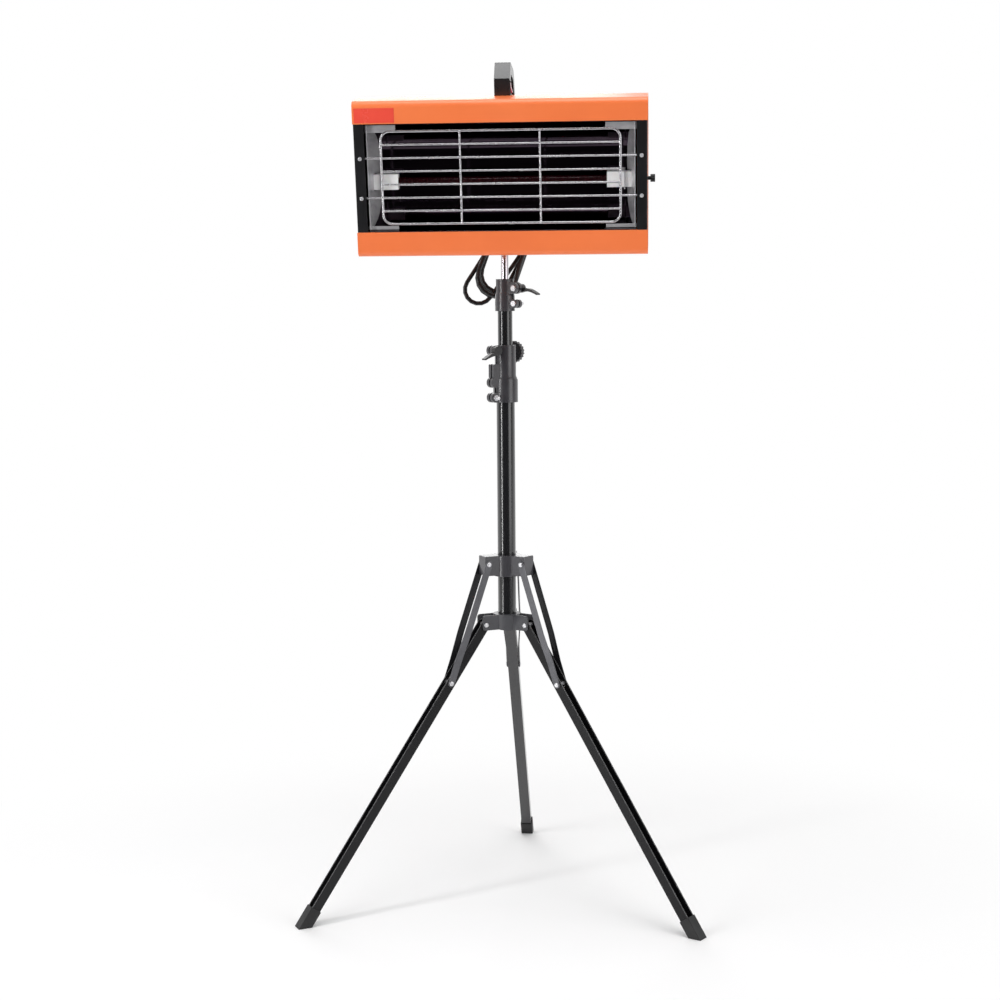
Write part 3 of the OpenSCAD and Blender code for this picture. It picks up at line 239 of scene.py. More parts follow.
# %% [markdown]
# Every finish starts with the same few effects, and each effect is one node group, so
# that a change to it reaches every material. The groups give only masks and normals.
# Short helpers do what every group needs: add a node with its values, join nodes by
# the names of their sockets, and open a group with its inputs and outputs. The first
# effect is a fine grain that is pressed or sprayed into the surface. It is a small
# noise that a Bump node turns into tilted normals.

# %% Helpers for nodes, and surface grain
GRAIN_HEIGHT = 0.0004


def set_values(node, values):
    for label, value in values.items():
        node.inputs[label.replace("_", " ")].default_value = value


def add_node(tree, kind, operation=None, **values):
    node = tree.nodes.new(kind)
    if operation:
        node.operation = operation
    set_values(node, values)
    return node


def join(tree, *lines):
    """Each line is a node and its output, then a node and its input."""
    for source, out, target, into in lines:
        tree.links.new(source.outputs[out], target.inputs[into])


def new_group(name, inputs, outputs):
    """Each input is a name, a kind and a value, and each output a name and a kind."""
    group = bpy.data.node_groups.new(name, "ShaderNodeTree")
    for label, kind, value in inputs:
        socket = group.interface.new_socket(label, in_out="INPUT", socket_type="NodeSocket" + kind)
        if value is not None:
            socket.default_value = value
    for label, kind in outputs:
        group.interface.new_socket(label, in_out="OUTPUT", socket_type="NodeSocket" + kind)
    return group, add_node(group, "NodeGroupInput"), add_node(group, "NodeGroupOutput")


def grain_group():
    group, given, result = new_group(
        "surface grain", [("Scale", "Float", 900.0), ("Depth", "Float", 0.2), ("Normal", "Vector", None)],
        [("Normal", "Vector")])
    place = add_node(group, "ShaderNodeTexCoord")
    noise = add_node(group, "ShaderNodeTexNoise", Detail=3.0)
    bump = add_node(group, "ShaderNodeBump", Distance=GRAIN_HEIGHT)
    join(group, (place, "Object", noise, "Vector"), (given, "Scale", noise, "Scale"),
         (noise, "Fac", bump, "Height"), (given, "Depth", bump, "Strength"),
         (given, "Normal", bump, "Normal"), (bump, "Normal", result, "Normal"))
    return group


grain = grain_group()
print("node group", grain.name)

# %% [markdown]
# The second effect is an edge that is a little rounded, worn and lit. A Bevel node gives
# the rounded normal. Where it turns away from the flat one there is an edge, and
# patches of noise pick a part of that edge for a paler colour: partly wear, partly a painted highlight.

# %% Worn edges with a painted highlight
BEVEL_SAMPLES = 4
EDGE_STARTS, EDGE_FULL = 0.995, 0.8  # cosines between the rounded and the flat normal


def edge_group():
    # The Wear input scales the paler edge colour, which is partly wear and partly a painted highlight.
    group, given, result = new_group(
        "rubbed edges", [("Radius", "Float", 0.0006), ("Wear", "Float", 0.5)],
        [("Normal", "Vector"), ("Edge", "Float")])
    soft = add_node(group, "ShaderNodeBevel")
    soft.samples = BEVEL_SAMPLES
    flat = add_node(group, "ShaderNodeNewGeometry")
    dot = add_node(group, "ShaderNodeVectorMath", "DOT_PRODUCT")
    ramp = add_node(group, "ShaderNodeMapRange", From_Min=EDGE_STARTS, From_Max=EDGE_FULL)
    place = add_node(group, "ShaderNodeTexCoord")
    patches = add_node(group, "ShaderNodeTexNoise", Scale=140.0, Detail=4.0)
    some = add_node(group, "ShaderNodeMath", "MULTIPLY")
    share = add_node(group, "ShaderNodeMath", "MULTIPLY")
    join(group, (given, "Radius", soft, "Radius"), (soft, "Normal", dot, 0), (flat, "Normal", dot, 1),
         (dot, "Value", ramp, "Value"), (place, "Object", patches, "Vector"),
         (ramp, "Result", some, 0), (patches, "Fac", some, 1), (some, 0, share, 0),
         (given, "Wear", share, 1), (soft, "Normal", result, "Normal"), (share, 0, result, "Edge"))
    return group


edges = edge_group()
print("node group", edges.name)

# %% [markdown]
# The third effect is a slow unevenness from spraying, rolling and handling. It serves
# twice in each finish, once for the shade and once for the polish.

# %% Slow unevenness
def mottle_group():
    group, given, result = new_group(
        "slow unevenness", [("Scale", "Float", 18.0), ("Stretch", "Vector", (1.0, 1.0, 1.0)),
                            ("Low", "Float", 0.0), ("High", "Float", 1.0)], [("Value", "Float")])
    place = add_node(group, "ShaderNodeTexCoord")
    stretch = add_node(group, "ShaderNodeVectorMath", "MULTIPLY")
    noise = add_node(group, "ShaderNodeTexNoise", Detail=5.0, Roughness=0.6)
    spread = add_node(group, "ShaderNodeMapRange", From_Min=0.3, From_Max=0.7)
    join(group, (place, "Object", stretch, 0), (given, "Stretch", stretch, 1),
         (stretch, 0, noise, "Vector"), (given, "Scale", noise, "Scale"), (noise, "Fac", spread, "Value"),
         (given, "Low", spread, "To Min"), (given, "High", spread, "To Max"),
         (spread, "Result", result, "Value"))
    return group


mottle = mottle_group()
print("node group", mottle.name)

# %% [markdown]
# A material is then a short list of facts: its colour and its second shade, roughness
# at its smoothest and roughest, the size of its uneven spots, the paler colour on its
# edges, which is partly wear and partly a painted highlight, and the grain. One function
# turns the list into nodes. Values that are the same all over stay on the shader. Tubes,
# wires and the cord are drawn or pressed smooth and have no edges to wear, so they give
# no edge colour and get no grain. The cord's sheath is the plainest, so it comes first.

# %% Making a material
POLISH_SPOTS = 1.7  # the polish varies in finer spots than the shade


def use_group(material, group, **values):
    node = add_node(material.node_tree, "ShaderNodeGroup")
    node.node_tree = group
    set_values(node, values)
    return node


def blend_colours(material, share, low, high):
    mix = add_node(material.node_tree, "ShaderNodeMix")
    mix.data_type = "RGBA"
    material.node_tree.links.new(share, mix.inputs["Factor"])
    for socket, value in ((mix.inputs["A"], low), (mix.inputs["B"], high)):
        if isinstance(value, bpy.types.NodeSocket):
            material.node_tree.links.new(value, socket)
        else:
            socket.default_value = (*value, 1)
    return mix.outputs["Result"]


def finish(name, colour, shade, rough, spots=18.0, stretch=(1, 1, 1), rubbed_and_lit=None, radius=0.0006, wear_and_light=0.5,
           grain_scale=900.0, depth=0.15, **plain):
    material = bpy.data.materials.new(name)
    material.use_nodes = True
    shader = material.node_tree.nodes["Principled BSDF"]
    set_values(shader, plain)
    tone = use_group(material, mottle, Scale=spots, Stretch=stretch)
    polish = use_group(material, mottle, Scale=spots * POLISH_SPOTS, Stretch=stretch,
                       Low=rough[0], High=rough[1])
    base = blend_colours(material, tone.outputs["Value"], colour, shade)
    # The paler edge colour is partly wear and partly a painted highlight.
    if rubbed_and_lit:
        rim = use_group(material, edges, Radius=radius, Wear=wear_and_light)
        fine = use_group(material, grain, Scale=grain_scale, Depth=depth)
        base = blend_colours(material, rim.outputs["Edge"], base, rubbed_and_lit)
        join(material.node_tree, (rim, "Normal", fine, "Normal"), (fine, "Normal", shader, "Normal"))
    material.node_tree.links.new(base, shader.inputs["Base Color"])
    join(material.node_tree, (polish, "Value", shader, "Roughness"))
    return material


materials = {"cord": finish("cord sheath", (0.004, 0.004, 0.0045), (0.008, 0.008, 0.009), (0.32, 0.45),
                            spots=60)}
cord.data.materials.append(materials["cord"])
print("cord sheath", len(materials["cord"].node_tree.nodes), "nodes")

# %% [markdown]
# The stand is powder coated steel and moulded nylon, all black or nearly so. The
# differences between them are small: the tubes are the glossiest, the straps under
# them are greyer, and the mouldings have a pressed grain. That is what these numbers
# say, with painted light besides: a bright painted highlight on the legs' edges, and on
# the front braces a lit grey and a shaded black copy of the strap finish.

# %% Blacks and greys of the stand
materials.update({
    "stand_tube": finish(
        "satin black coat", (0.006, 0.006, 0.007), (0.01, 0.01, 0.012), (0.2, 0.22),
        Specular_IOR_Level=0.7, Coat_Weight=0.6, Coat_Roughness=0.14),
    "stand_strap": finish(
        "dark grey coat", (0.05, 0.05, 0.054), (0.075, 0.075, 0.082), (0.26, 0.36),
        rubbed_and_lit=(0.3, 0.3, 0.32), grain_scale=1200, depth=0.08, Metallic=0.3),
    "stand_plastic": finish(
        "black nylon", (0.05, 0.05, 0.056), (0.075, 0.075, 0.083), (0.38, 0.5),
        rubbed_and_lit=(0.17, 0.17, 0.18), grain_scale=1100, depth=0.25),
    "clamp": finish(
        "dark grey nylon", (0.028, 0.027, 0.032), (0.05, 0.048, 0.056), (0.24, 0.36),
        rubbed_and_lit=(0.14, 0.14, 0.155), grain_scale=1000, depth=0.12, Specular_IOR_Level=0.85),
    "lever": finish(
        "black acetal", (0.012, 0.012, 0.013), (0.022, 0.022, 0.024), (0.3, 0.42),
        rubbed_and_lit=(0.07, 0.07, 0.075), grain_scale=1000, depth=0.2),
    "foot": finish(
        "foot rubber", (0.008, 0.008, 0.009), (0.018, 0.018, 0.019), (0.5, 0.7),
        rubbed_and_lit=(0.05, 0.05, 0.05), grain_scale=700, depth=0.4),
    "end_cap": finish(
        "end cap moulding", (0.006, 0.006, 0.007), (0.012, 0.012, 0.014), (0.34, 0.46),
        rubbed_and_lit=(0.06, 0.06, 0.065), grain_scale=1300, depth=0.2, Specular_IOR_Level=0.35),
    "handle": finish(
        "handle moulding", (0.01, 0.01, 0.011), (0.016, 0.016, 0.018), (0.24, 0.32),
        rubbed_and_lit=(0.07, 0.07, 0.075), grain_scale=1500, depth=0.08, Specular_IOR_Level=0.7,
        Coat_Weight=0.4, Coat_Roughness=0.2),
    # The legs' pale edge colour is a painted highlight: the thin bright line along each leg.
    "leg_coat": finish(
        "leg coat", (0.005, 0.005, 0.006), (0.009, 0.009, 0.01), (0.24, 0.32),
        rubbed_and_lit=(0.55, 0.55, 0.56), radius=0.0012, wear_and_light=1.0, grain_scale=1500, depth=0.06,
        Specular_IOR_Level=0.28),
    # A lit and a shaded copy of the strap finish: the grey one is a painted highlight, the black one
    # painted shade.
    "strap_painted_highlight": finish(
        "strap with painted highlight", (0.15, 0.15, 0.162), (0.09, 0.09, 0.098), (0.28, 0.38),
        rubbed_and_lit=(0.4, 0.4, 0.42), grain_scale=1200, depth=0.08, Metallic=0.35),
    "strap_painted_shade": finish(
        "strap with painted shade", (0.008, 0.008, 0.009), (0.014, 0.014, 0.016), (0.3, 0.4),
        rubbed_and_lit=(0.12, 0.12, 0.13), grain_scale=1200, depth=0.08, Specular_IOR_Level=0.3),
    "knob_grip": finish(
        "knob moulding", (0.022, 0.022, 0.025), (0.055, 0.055, 0.06), (0.36, 0.5), spots=160,
        rubbed_and_lit=(0.2, 0.2, 0.21), wear_and_light=0.9, depth=0.3),
})
print("dark finishes", len(materials))

# %% [markdown]
# The case is bent sheet with a fine textured orange coat. Its colour is written once,
# and the unevenness only moves it a little towards red, as a sprayed powder does. A
# thin clear coat gives the bends their pale line of light. The zinc, the rod and the
# wires are metal, and each is a little different in polish.

# %% Orange coat, bright metals and wire
# The pale edge colour along the bends is partly a painted highlight, beside the clear coat's real one.
materials["orange_case"] = finish(
    "orange powder coat", (0.9, 0.2, 0.052), (0.84, 0.175, 0.044), (0.34, 0.44), spots=7,
    rubbed_and_lit=(0.95, 0.42, 0.24), grain_scale=1500, depth=0.1, Coat_Weight=0.25, Coat_Roughness=0.22)
materials["zinc"] = finish(
    "bright zinc", (0.82, 0.82, 0.84), (0.66, 0.66, 0.69), (0.26, 0.4), spots=90,
    rubbed_and_lit=(0.9, 0.9, 0.92), grain_scale=1500, depth=0.1, Metallic=0.8)
materials["rod"] = finish(
    "polished rod", (0.74, 0.7, 0.73), (0.66, 0.6, 0.65), (0.14, 0.16), spots=30, stretch=(1, 1, 0.08),
    Metallic=1.0)
materials["guard_wire"] = finish(
    "plated wire", (0.72, 0.71, 0.73), (0.6, 0.59, 0.62), (0.25, 0.28), spots=40, Metallic=0.85)
materials["filament"] = finish(
    "tungsten coil", (0.42, 0.36, 0.33), (0.3, 0.25, 0.22), (0.35, 0.5), Metallic=1.0)
print("finishes", len(materials))

# %% [markdown]
# The trough behind the tube is thin polished sheet. It mirrors the dark wall, so it
# looks nearly black with soft purple and grey bands. Its dark purple metal colour is a
# painted dark reflection on top of that, and stretched noise draws faint roll lines
# along it. The leaning end plates are the same sheet with its bright colour and the
# light on them, so they are much brighter.

# %% Mirror sheet, quartz, ceramic and the small coloured pieces
materials["mirror_sheet"] = finish(
    "bright mirror sheet", (0.85, 0.84, 0.86), (0.5, 0.49, 0.52), (0.1, 0.26), spots=26,
    stretch=(1, 1, 2.5), rubbed_and_lit=(0.9, 0.9, 0.92), grain_scale=1200, depth=0.05, Metallic=0.45)
# The dark purple metal colour is a painted dark reflection.
materials["trough"] = finish(
    "mirror sheet with painted dark reflection", (0.05, 0.037, 0.049), (0.022, 0.016, 0.023), (0.03, 0.09), spots=12,
    stretch=(0.25, 3, 3), rubbed_and_lit=(0.4, 0.4, 0.42), grain_scale=1500, depth=0.015, Metallic=1.0)
materials["ceramic"] = finish(
    "glazed ceramic", (0.95, 0.94, 0.94), (0.89, 0.88, 0.87), (0.3, 0.45), spots=70,
    rubbed_and_lit=(0.96, 0.95, 0.95), grain_scale=1400, depth=0.12, Subsurface_Weight=0.05,
    Subsurface_Scale=0.002)
materials["sticker"] = finish(
    "red film", (0.84, 0.085, 0.05), (0.78, 0.065, 0.042), (0.2, 0.3), spots=25,
    rubbed_and_lit=(0.9, 0.25, 0.18), radius=0.0003, grain_scale=500, depth=0.05, Coat_Weight=0.3,
    Coat_Roughness=0.12)
materials["rocker_red"] = finish(
    "red rocker", (0.5, 0.012, 0.07), (0.42, 0.01, 0.055), (0.15, 0.24), spots=60,
    rubbed_and_lit=(0.75, 0.12, 0.2), depth=0.05, Coat_Weight=0.4, Coat_Roughness=0.08)
materials["quartz"] = finish(
    "ruby quartz", (0.16, 0.008, 0.02), (0.1, 0.005, 0.013), (0.02, 0.05), spots=20,
    stretch=(0.2, 1, 1), Transmission_Weight=0.92, IOR=1.46)
print("finishes", len(materials))

# %% [markdown]
# The frame's nodes have knife-sharp edges, because their job is to be exact. On the
# real object every sheet edge and moulding is a little round, and that is where the
# light catches. So each node gets a shown copy: its triangles are merged into clean
# faces, curved faces are shaded smooth, and a narrow bevel runs along its edges. The
# table gives each node the width of that bevel in millimetres.

# %% Shown copies of the frame's nodes
SAME_POINT = 2e-6
SAME_PLANE = math.radians(0.6)
NODE_SHARP = math.radians(32)
BROAD = 1  # bevels wider than this many millimetres get more segments
EDGE_WIDTHS = {
    0.0: ["lower_tube", "mid_tube", "top_rod", "guard", "mid_bush", "rod_bush", "tube_plug", "plug_pins",
          "terminal_block", "reflector", "quartz_tube"],
    0.25: ["brace_1", "brace_2", "brace_3", "housing", "label_plate", "lamp_brackets",
           "end_reflectors", "tilt_bracket"],
    0.9: ["leg_1", "leg_2", "leg_3"],
    0.5: ["hub_rivets", "collar_rivets", "brace_pin_1", "brace_pin_2", "brace_pin_3",
          "lower_clamp_bolts", "upper_clamp_bolts", "tilt_bolt", "cord_hook", "height_knob",
          "collar_screw", "adapter_screw", "side_screw"],
    0.8: ["hub", "collar", "lower_clamp", "upper_clamp", "adapter", "cap_left", "cap_right", "rocker",
          "foot_1", "foot_2", "foot_3", "ceramic_ends"],
    1.4: ["tilt_knob", "lower_lever", "upper_lever"],
    2.2: ["handle"],
}
OWN_FINISH = {"reflector": "trough", "leg_2": "leg_coat", "leg_3": "leg_coat", "height_knob": "knob_grip",
              "collar": "clamp"}


def smooth_mesh(shape, name, sharp):
    """Shades a shape smooth up to its sharp edges, and hands it over as a mesh."""
    for face in shape.faces:
        face.smooth = True
    for edge in shape.edges:
        edge.smooth = len(edge.link_faces) == 2 and edge.calc_face_angle() < sharp
    mesh = bpy.data.meshes.new(name)
    shape.to_mesh(mesh)
    shape.free()
    return mesh


def dressed(name, width):
    shape = bmesh.new()
    shape.from_mesh(nodes[name].data)
    bmesh.ops.remove_doubles(shape, verts=shape.verts, dist=SAME_POINT)
    bmesh.ops.dissolve_limit(shape, angle_limit=SAME_PLANE, verts=shape.verts, edges=shape.edges)
    mesh = smooth_mesh(shape, name + "_shown", NODE_SHARP)
    piece = link(name + "_shown", mesh, body_of[name])
    mesh.materials.append(materials[OWN_FINISH.get(name, slot_of[name])])
    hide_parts(name)
    if width:
        bevel = piece.modifiers.new("softened edges", "BEVEL")
        bevel.width = width / 1000
        bevel.segments = 4 if width > BROAD else 2
        bevel.limit_method = "ANGLE"
        bevel.angle_limit = NODE_SHARP
        bevel.harden_normals = True
    return piece


shown = {name: dressed(name, width) for width, names in EDGE_WIDTHS.items() for name in names}
print("shown copies", len(shown))

# %% [markdown]
# Each brace is a pair of straps. On the two front legs the strap nearer to the camera
# gets a grey finish with a painted highlight and the other one a black finish with
# painted shade. The straps aren't joined, so the script walks from face to face over
# shared edges to tell them apart.

# %% Painted highlight and shade on the straps
def strap_painted_light(piece):
    shape = bmesh.new()
    shape.from_mesh(piece.data)
    waiting, straps = set(shape.faces), []
    while waiting:
        strap, front = [], [waiting.pop()]
        while front:
            face = front.pop()
            strap.append(face)
            beside = {other for edge in face.edges for other in edge.link_faces} & waiting
            waiting -= beside
            front += beside
        straps.append(strap)
    straps.sort(key=lambda faces: sum(f.calc_center_median().y for f in faces) / len(faces))
    for face in straps[-1]:
        face.material_index = 1
    shape.to_mesh(piece.data)
    shape.free()
    # The nearer strap gets the painted highlight and the farther one the painted shade.
    piece.data.materials[0] = materials["strap_painted_highlight"]
    piece.data.materials.append(materials["strap_painted_shade"])
    return len(straps)


print("straps", [strap_painted_light(shown[name]) for name in ("brace_2", "brace_3")])

# %% [markdown]
# The head's own pieces are easiest to make in the head's frame: x to the right, y to
# the back, z up, with the origin in the middle of the front. One matrix takes that
# frame to the object's, with the same tilt and turn as the engineering model. Most of
# the pieces are lathe shapes, so a helper spins a half section about its axis.

# %% The head's frame
TILT_Z = 0.9575
HEAD_TURN = math.radians(-5)
HEAD_LEAN = math.radians(11)
PIVOT = (-0.005, 0.109, -0.055)  # the tilt bolt, in the head's frame
IN_HEAD = (Matrix.Translation((0, 0, TILT_Z)) @ Matrix.Rotation(HEAD_TURN, 4, "Z")
           @ Matrix.Rotation(HEAD_LEAN, 4, "X") @ Matrix.Translation([-v for v in PIVOT]))
BUILT_SHARP = math.radians(35)
LATHE_GAP = 1e-6


def facing(way):
    """The turn that takes Z to a direction."""
    return Vector((0, 0, 1)).rotation_difference(Vector(way)).to_matrix().to_4x4()


def turned(shape, profile, steps=24):
    """Spins a profile of (radius, height) points about Z into a closed solid."""
    corners = [shape.verts.new((r, 0, z)) for r, z in profile]
    lines = [shape.edges.new(pair) for pair in zip(corners, corners[1:])]
    bmesh.ops.spin(shape, geom=corners + lines, cent=(0, 0, 0), axis=(0, 0, 1), angle=math.tau,
                   steps=steps, use_merge=True, use_duplicate=False)
    bmesh.ops.remove_doubles(shape, verts=shape.verts, dist=LATHE_GAP)


def add_part(shape, part):
    """Moves everything in a part over to a shape."""
    scratch = bpy.data.meshes.new("scratch")
    part.to_mesh(scratch)
    part.free()
    shape.from_mesh(scratch)
    bpy.data.meshes.remove(scratch)


def raise_faces(shape, height):
    """Extrudes all the faces of a flat shape along Z."""
    drawn = bmesh.ops.extrude_face_region(shape, geom=shape.faces[:])["geom"]
    raised = [v for v in drawn if isinstance(v, bmesh.types.BMVert)]
    bmesh.ops.translate(shape, verts=raised, vec=(0, 0, height))


def build(name, shape, place, body, slot):
    """Puts a shape in place, turns its faces outwards and shades it."""
    bmesh.ops.transform(shape, matrix=place, verts=shape.verts)
    bmesh.ops.recalc_face_normals(shape, faces=shape.faces)
    mesh = smooth_mesh(shape, name, BUILT_SHARP)
    mesh.materials.append(materials[slot])
    return link(name, mesh, body)


print("head's origin at", [round(v, 4) for v in IN_HEAD.translation])

# %% [markdown]
# The case is held with pan-head screws. A screw is a lathe shape, so half its section
# is spun about its axis. The cross in the head is made by pressing down the inner
# rings of the crown along four spokes, which costs no extra faces.

# %% Making pan-head screws
SHANK_R = 0.002
CROWN_ANGLES = (90, 75, 58, 40, 26, 13)
CROWN_RIM = 0.35  # height of the head's straight side, as a share of its whole height
CROSS_REACH, CROSS_HALF = 0.66, 0.07  # length and half width of a spoke, as shares of the radius
CROSS_TOP, CROSS_DEPTH = 0.5, 0.6  # lowest point that is pressed, and how far, as shares of the height


def pan_screws(name, places, radius, height, shank, replaced):
    shape = bmesh.new()
    for at, way in places:
        screw = bmesh.new()
        crown = [(math.sin(a) * radius, height * (CROWN_RIM + (1 - CROWN_RIM) * math.cos(a)))
                 for a in map(math.radians, CROWN_ANGLES)]
        turned(screw, [(0, -shank), (SHANK_R, -shank), (SHANK_R, 0), (radius, 0)] + crown + [(0, height)])
        for v in screw.verts:
            reach = math.hypot(v.co.x, v.co.y)
            aside = min(abs(v.co.x), abs(v.co.y))
            in_cross = reach < radius * CROSS_REACH and aside < radius * CROSS_HALF
            if in_cross and v.co.z > height * CROSS_TOP:
                v.co.z -= height * CROSS_DEPTH
        bmesh.ops.transform(screw, matrix=Matrix.Translation(at) @ facing(way), verts=screw.verts)
        add_part(shape, screw)
    piece = build(name, shape, IN_HEAD, "head", "zinc")
    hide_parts(*replaced)
    return piece


print("a crown has", len(CROWN_ANGLES), "rings")

# %% [markdown]
# Four small screws hold the guard in front. Ten larger ones are at the back of the
# case, in the bracket's plate and under the handle's two feet.

# %% Screws of the head
SCREW_X = 0.181
GUARD_ROW = 0.0255
BACK_Y = 0.084
BACK_ROW = 0.04
PLATE = 0.003
SLOPE = (0, -0.8575, -0.5145)  # into the case through its sloping upper back
SUNK = 0.0015
FRONT_FOOT, REAR_FOOT = (-0.00485, 0.0555, 0.0965), (0.0004, 0.078, 0.068)
GUARD_SCREW = {"radius": 0.0026, "height": 0.0018, "shank": 0.009}
CASE_SCREW = {"radius": 0.0036, "height": 0.0022, "shank": 0.008}

guard_places = [((x * SCREW_X, 0, z * GUARD_ROW), (0, -1, 0)) for x in (-1, 1) for z in (-1, 1)]
back_places = [((x * SCREW_X, BACK_Y, z * BACK_ROW), (0, 1, 0)) for x in (-1, 1) for z in (-1, 1)]
plate_places = [((x + PIVOT[0], BACK_Y + PLATE, z + PIVOT[2]), (0, 1, 0))
                for x in (-0.023, 0.023) for z in (0.012, 0.04)]
handle_places = [(FRONT_FOOT, (0, 0, -1)),
                 (tuple(foot + SUNK * way for foot, way in zip(REAR_FOOT, SLOPE)), SLOPE)]
guard_heads = pan_screws("guard_screw_heads", guard_places, **GUARD_SCREW, replaced=["guard_screws"])
case_heads = pan_screws("case_screw_heads", back_places + plate_places + handle_places, **CASE_SCREW,
                        replaced=["case_screws"])
print("screw faces", len(guard_heads.data.polygons), len(case_heads.data.polygons))

# %% [markdown]
# Small folded tabs hold the trough to the case at its four corners, and they catch the
# light just under the lips. A tab is an edge drawn out into two flat faces, which are
# then given the thickness of the sheet.

# %% Corner tabs
TAB_X, TAB_LENGTH = 0.135, 0.0395
TAB_BACK_Y, TAB_BACK_Z = 0.0125, 0.0664
TAB_FRONT_Y, TAB_FRONT_Z = 0.009, 0.0672
TAB_DROPS = {1: 0.0095, -1: 0.0045}  # how far the upper and the lower tabs hang over the opening
TAB_SHEET = 0.0008


def corner_tabs():
    shape = bmesh.new()
    for side in (-1, 1):
        for up, drop in TAB_DROPS.items():
            path = [(TAB_BACK_Y, TAB_BACK_Z), (TAB_FRONT_Y, TAB_FRONT_Z), (TAB_FRONT_Y, TAB_FRONT_Z - drop)]
            corners = [shape.verts.new((side * TAB_X, y, up * z)) for y, z in path]
            folds = [shape.edges.new(pair) for pair in zip(corners, corners[1:])]
            drawn = bmesh.ops.extrude_edge_only(shape, edges=folds)["geom"]
            far = [v for v in drawn if isinstance(v, bmesh.types.BMVert)]
            bmesh.ops.translate(shape, verts=far, vec=(side * TAB_LENGTH, 0, 0))
    bmesh.ops.recalc_face_normals(shape, faces=shape.faces)
    bmesh.ops.solidify(shape, geom=shape.faces[:], thickness=TAB_SHEET)
    return build("corner_tabs", shape, IN_HEAD, "head", "mirror_sheet")


print("corner tabs", len(corner_tabs().data.polygons), "faces")

# %% [markdown]
# The heating wire is a fine coil that small discs hold in the middle of the quartz.
# Spinning a small ring while it also moves along the axis makes a coil directly. The
# discs are what show as dots through the glass.

# %% Heating coil
TUBE_HALF = 0.1385
TUBE_Y, TUBE_Z = 0.032, -0.008
COIL_R, WIRE_R, WIRE_SIDES = 0.0017, 0.00032, 5
COIL_TURNS, COIL_STEPS = 66, 12
DISCS, DISC_STEPS = 27, 16
DISC_R, DISC_EDGE_R, DISC_HALF = 0.0036, 0.0034, 0.0005


def heating_coil():
    shape = bmesh.new()
    ring = bmesh.ops.create_circle(shape, segments=WIRE_SIDES, radius=WIRE_R, cap_ends=False)["verts"]
    bmesh.ops.rotate(shape, verts=ring, cent=(0, 0, 0), matrix=Matrix.Rotation(math.pi / 2, 3, "X"))
    bmesh.ops.translate(shape, verts=ring, vec=(COIL_R, 0, -TUBE_HALF))
    step = 2 * TUBE_HALF / (COIL_TURNS * COIL_STEPS)
    bmesh.ops.spin(shape, geom=ring + shape.edges[:], cent=(0, 0, 0), axis=(0, 0, 1), dvec=(0, 0, step),
                   angle=math.tau * COIL_TURNS, steps=COIL_TURNS * COIL_STEPS, use_duplicate=False)
    for i in range(DISCS):
        z = -TUBE_HALF + (i + 1) * 2 * TUBE_HALF / (DISCS + 1)
        disc = bmesh.new()
        turned(disc, [(0, z - DISC_HALF), (DISC_EDGE_R, z - DISC_HALF), (DISC_R, z),
                      (DISC_EDGE_R, z + DISC_HALF), (0, z + DISC_HALF)], DISC_STEPS)
        add_part(shape, disc)
    place = IN_HEAD @ Matrix.Translation((0, TUBE_Y, TUBE_Z)) @ facing((1, 0, 0))
    return build("heating_coil", shape, place, "head", "filament")


coil = heating_coil()
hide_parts("filament")
print("coil faces", len(coil.data.polygons))

# %% [markdown]
# Where the cord leaves the case a rubber sleeve keeps it from kinking. It is a long
# taper cut into soft ribs, so that it bends evenly, and it stands on a hexagonal nut.

# %% Strain relief
RIB_DEPTH = 0.0009
NUT_R, NUT_HEIGHT, NUT_EDGE = 0.009, 0.005, 0.0006
GLAND_X, GLAND_Z = 0.035, -0.037
SLEEVE_END = 0.0268
SLEEVE_RIBS, SLEEVE_STEPS = 7, 32
SLEEVE_FOOT = [(0, -0.0025), (0.005, -0.0025), (0.005, 0.004), (0.0078, 0.004), (0.0078, 0.0062)]


def ribbed(start, end, wide, narrow, ribs):
    """Profile points of a taper from start to end along Z, cut into round ribs."""
    points = []
    pitch = (end - start) / ribs
    for i in range(ribs):
        r = wide + (narrow - wide) * (i + 0.5) / ribs
        z = start + i * pitch
        points += [(r - RIB_DEPTH, z), (r, z + pitch * 0.22), (r, z + pitch * 0.62),
                   (r - RIB_DEPTH, z + pitch * 0.84)]
    return points


def gland_relief():
    shape = bmesh.new()
    bmesh.ops.create_circle(shape, segments=6, radius=NUT_R, cap_ends=True)
    raise_faces(shape, NUT_HEIGHT)
    bmesh.ops.bevel(shape, geom=shape.edges[:], offset=NUT_EDGE, segments=2, profile=0.5,
                    affect="EDGES", material=-1)
    sleeve = bmesh.new()
    turned(sleeve, SLEEVE_FOOT + ribbed(0.0065, 0.0265, 0.0074, 0.0045, SLEEVE_RIBS)
           + [(0.0036, SLEEVE_END), (0, SLEEVE_END)], SLEEVE_STEPS)
    add_part(shape, sleeve)
    place = IN_HEAD @ Matrix.Translation((GLAND_X, BACK_Y, GLAND_Z)) @ facing((0, 1, 0))
    return build("gland_sleeve", shape, place, "head", "cord")


relief = gland_relief()
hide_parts("cable_gland")
print("relief stands out", round(SLEEVE_END * 1000, 1), "mm")

# %% [markdown]
# The plug has a shorter sleeve of the same kind, a shoulder and a round body. It is
# one lathe shape along the direction in which the cord ends.

# %% Plug
PLUG_START = [(0, -0.011), (0.0036, -0.011)]
PLUG_BODY = [(0.0085, 0.0125), (0.0125, 0.0135), (0.0165, 0.0185), (0.0176, 0.0215), (0.018, 0.025),
             (0.018, 0.0515), (0.0172, 0.0535), (0.0158, 0.054), (0.0154, 0.053), (0, 0.053)]
PLUG_RIBS, PLUG_STEPS = 7, 40


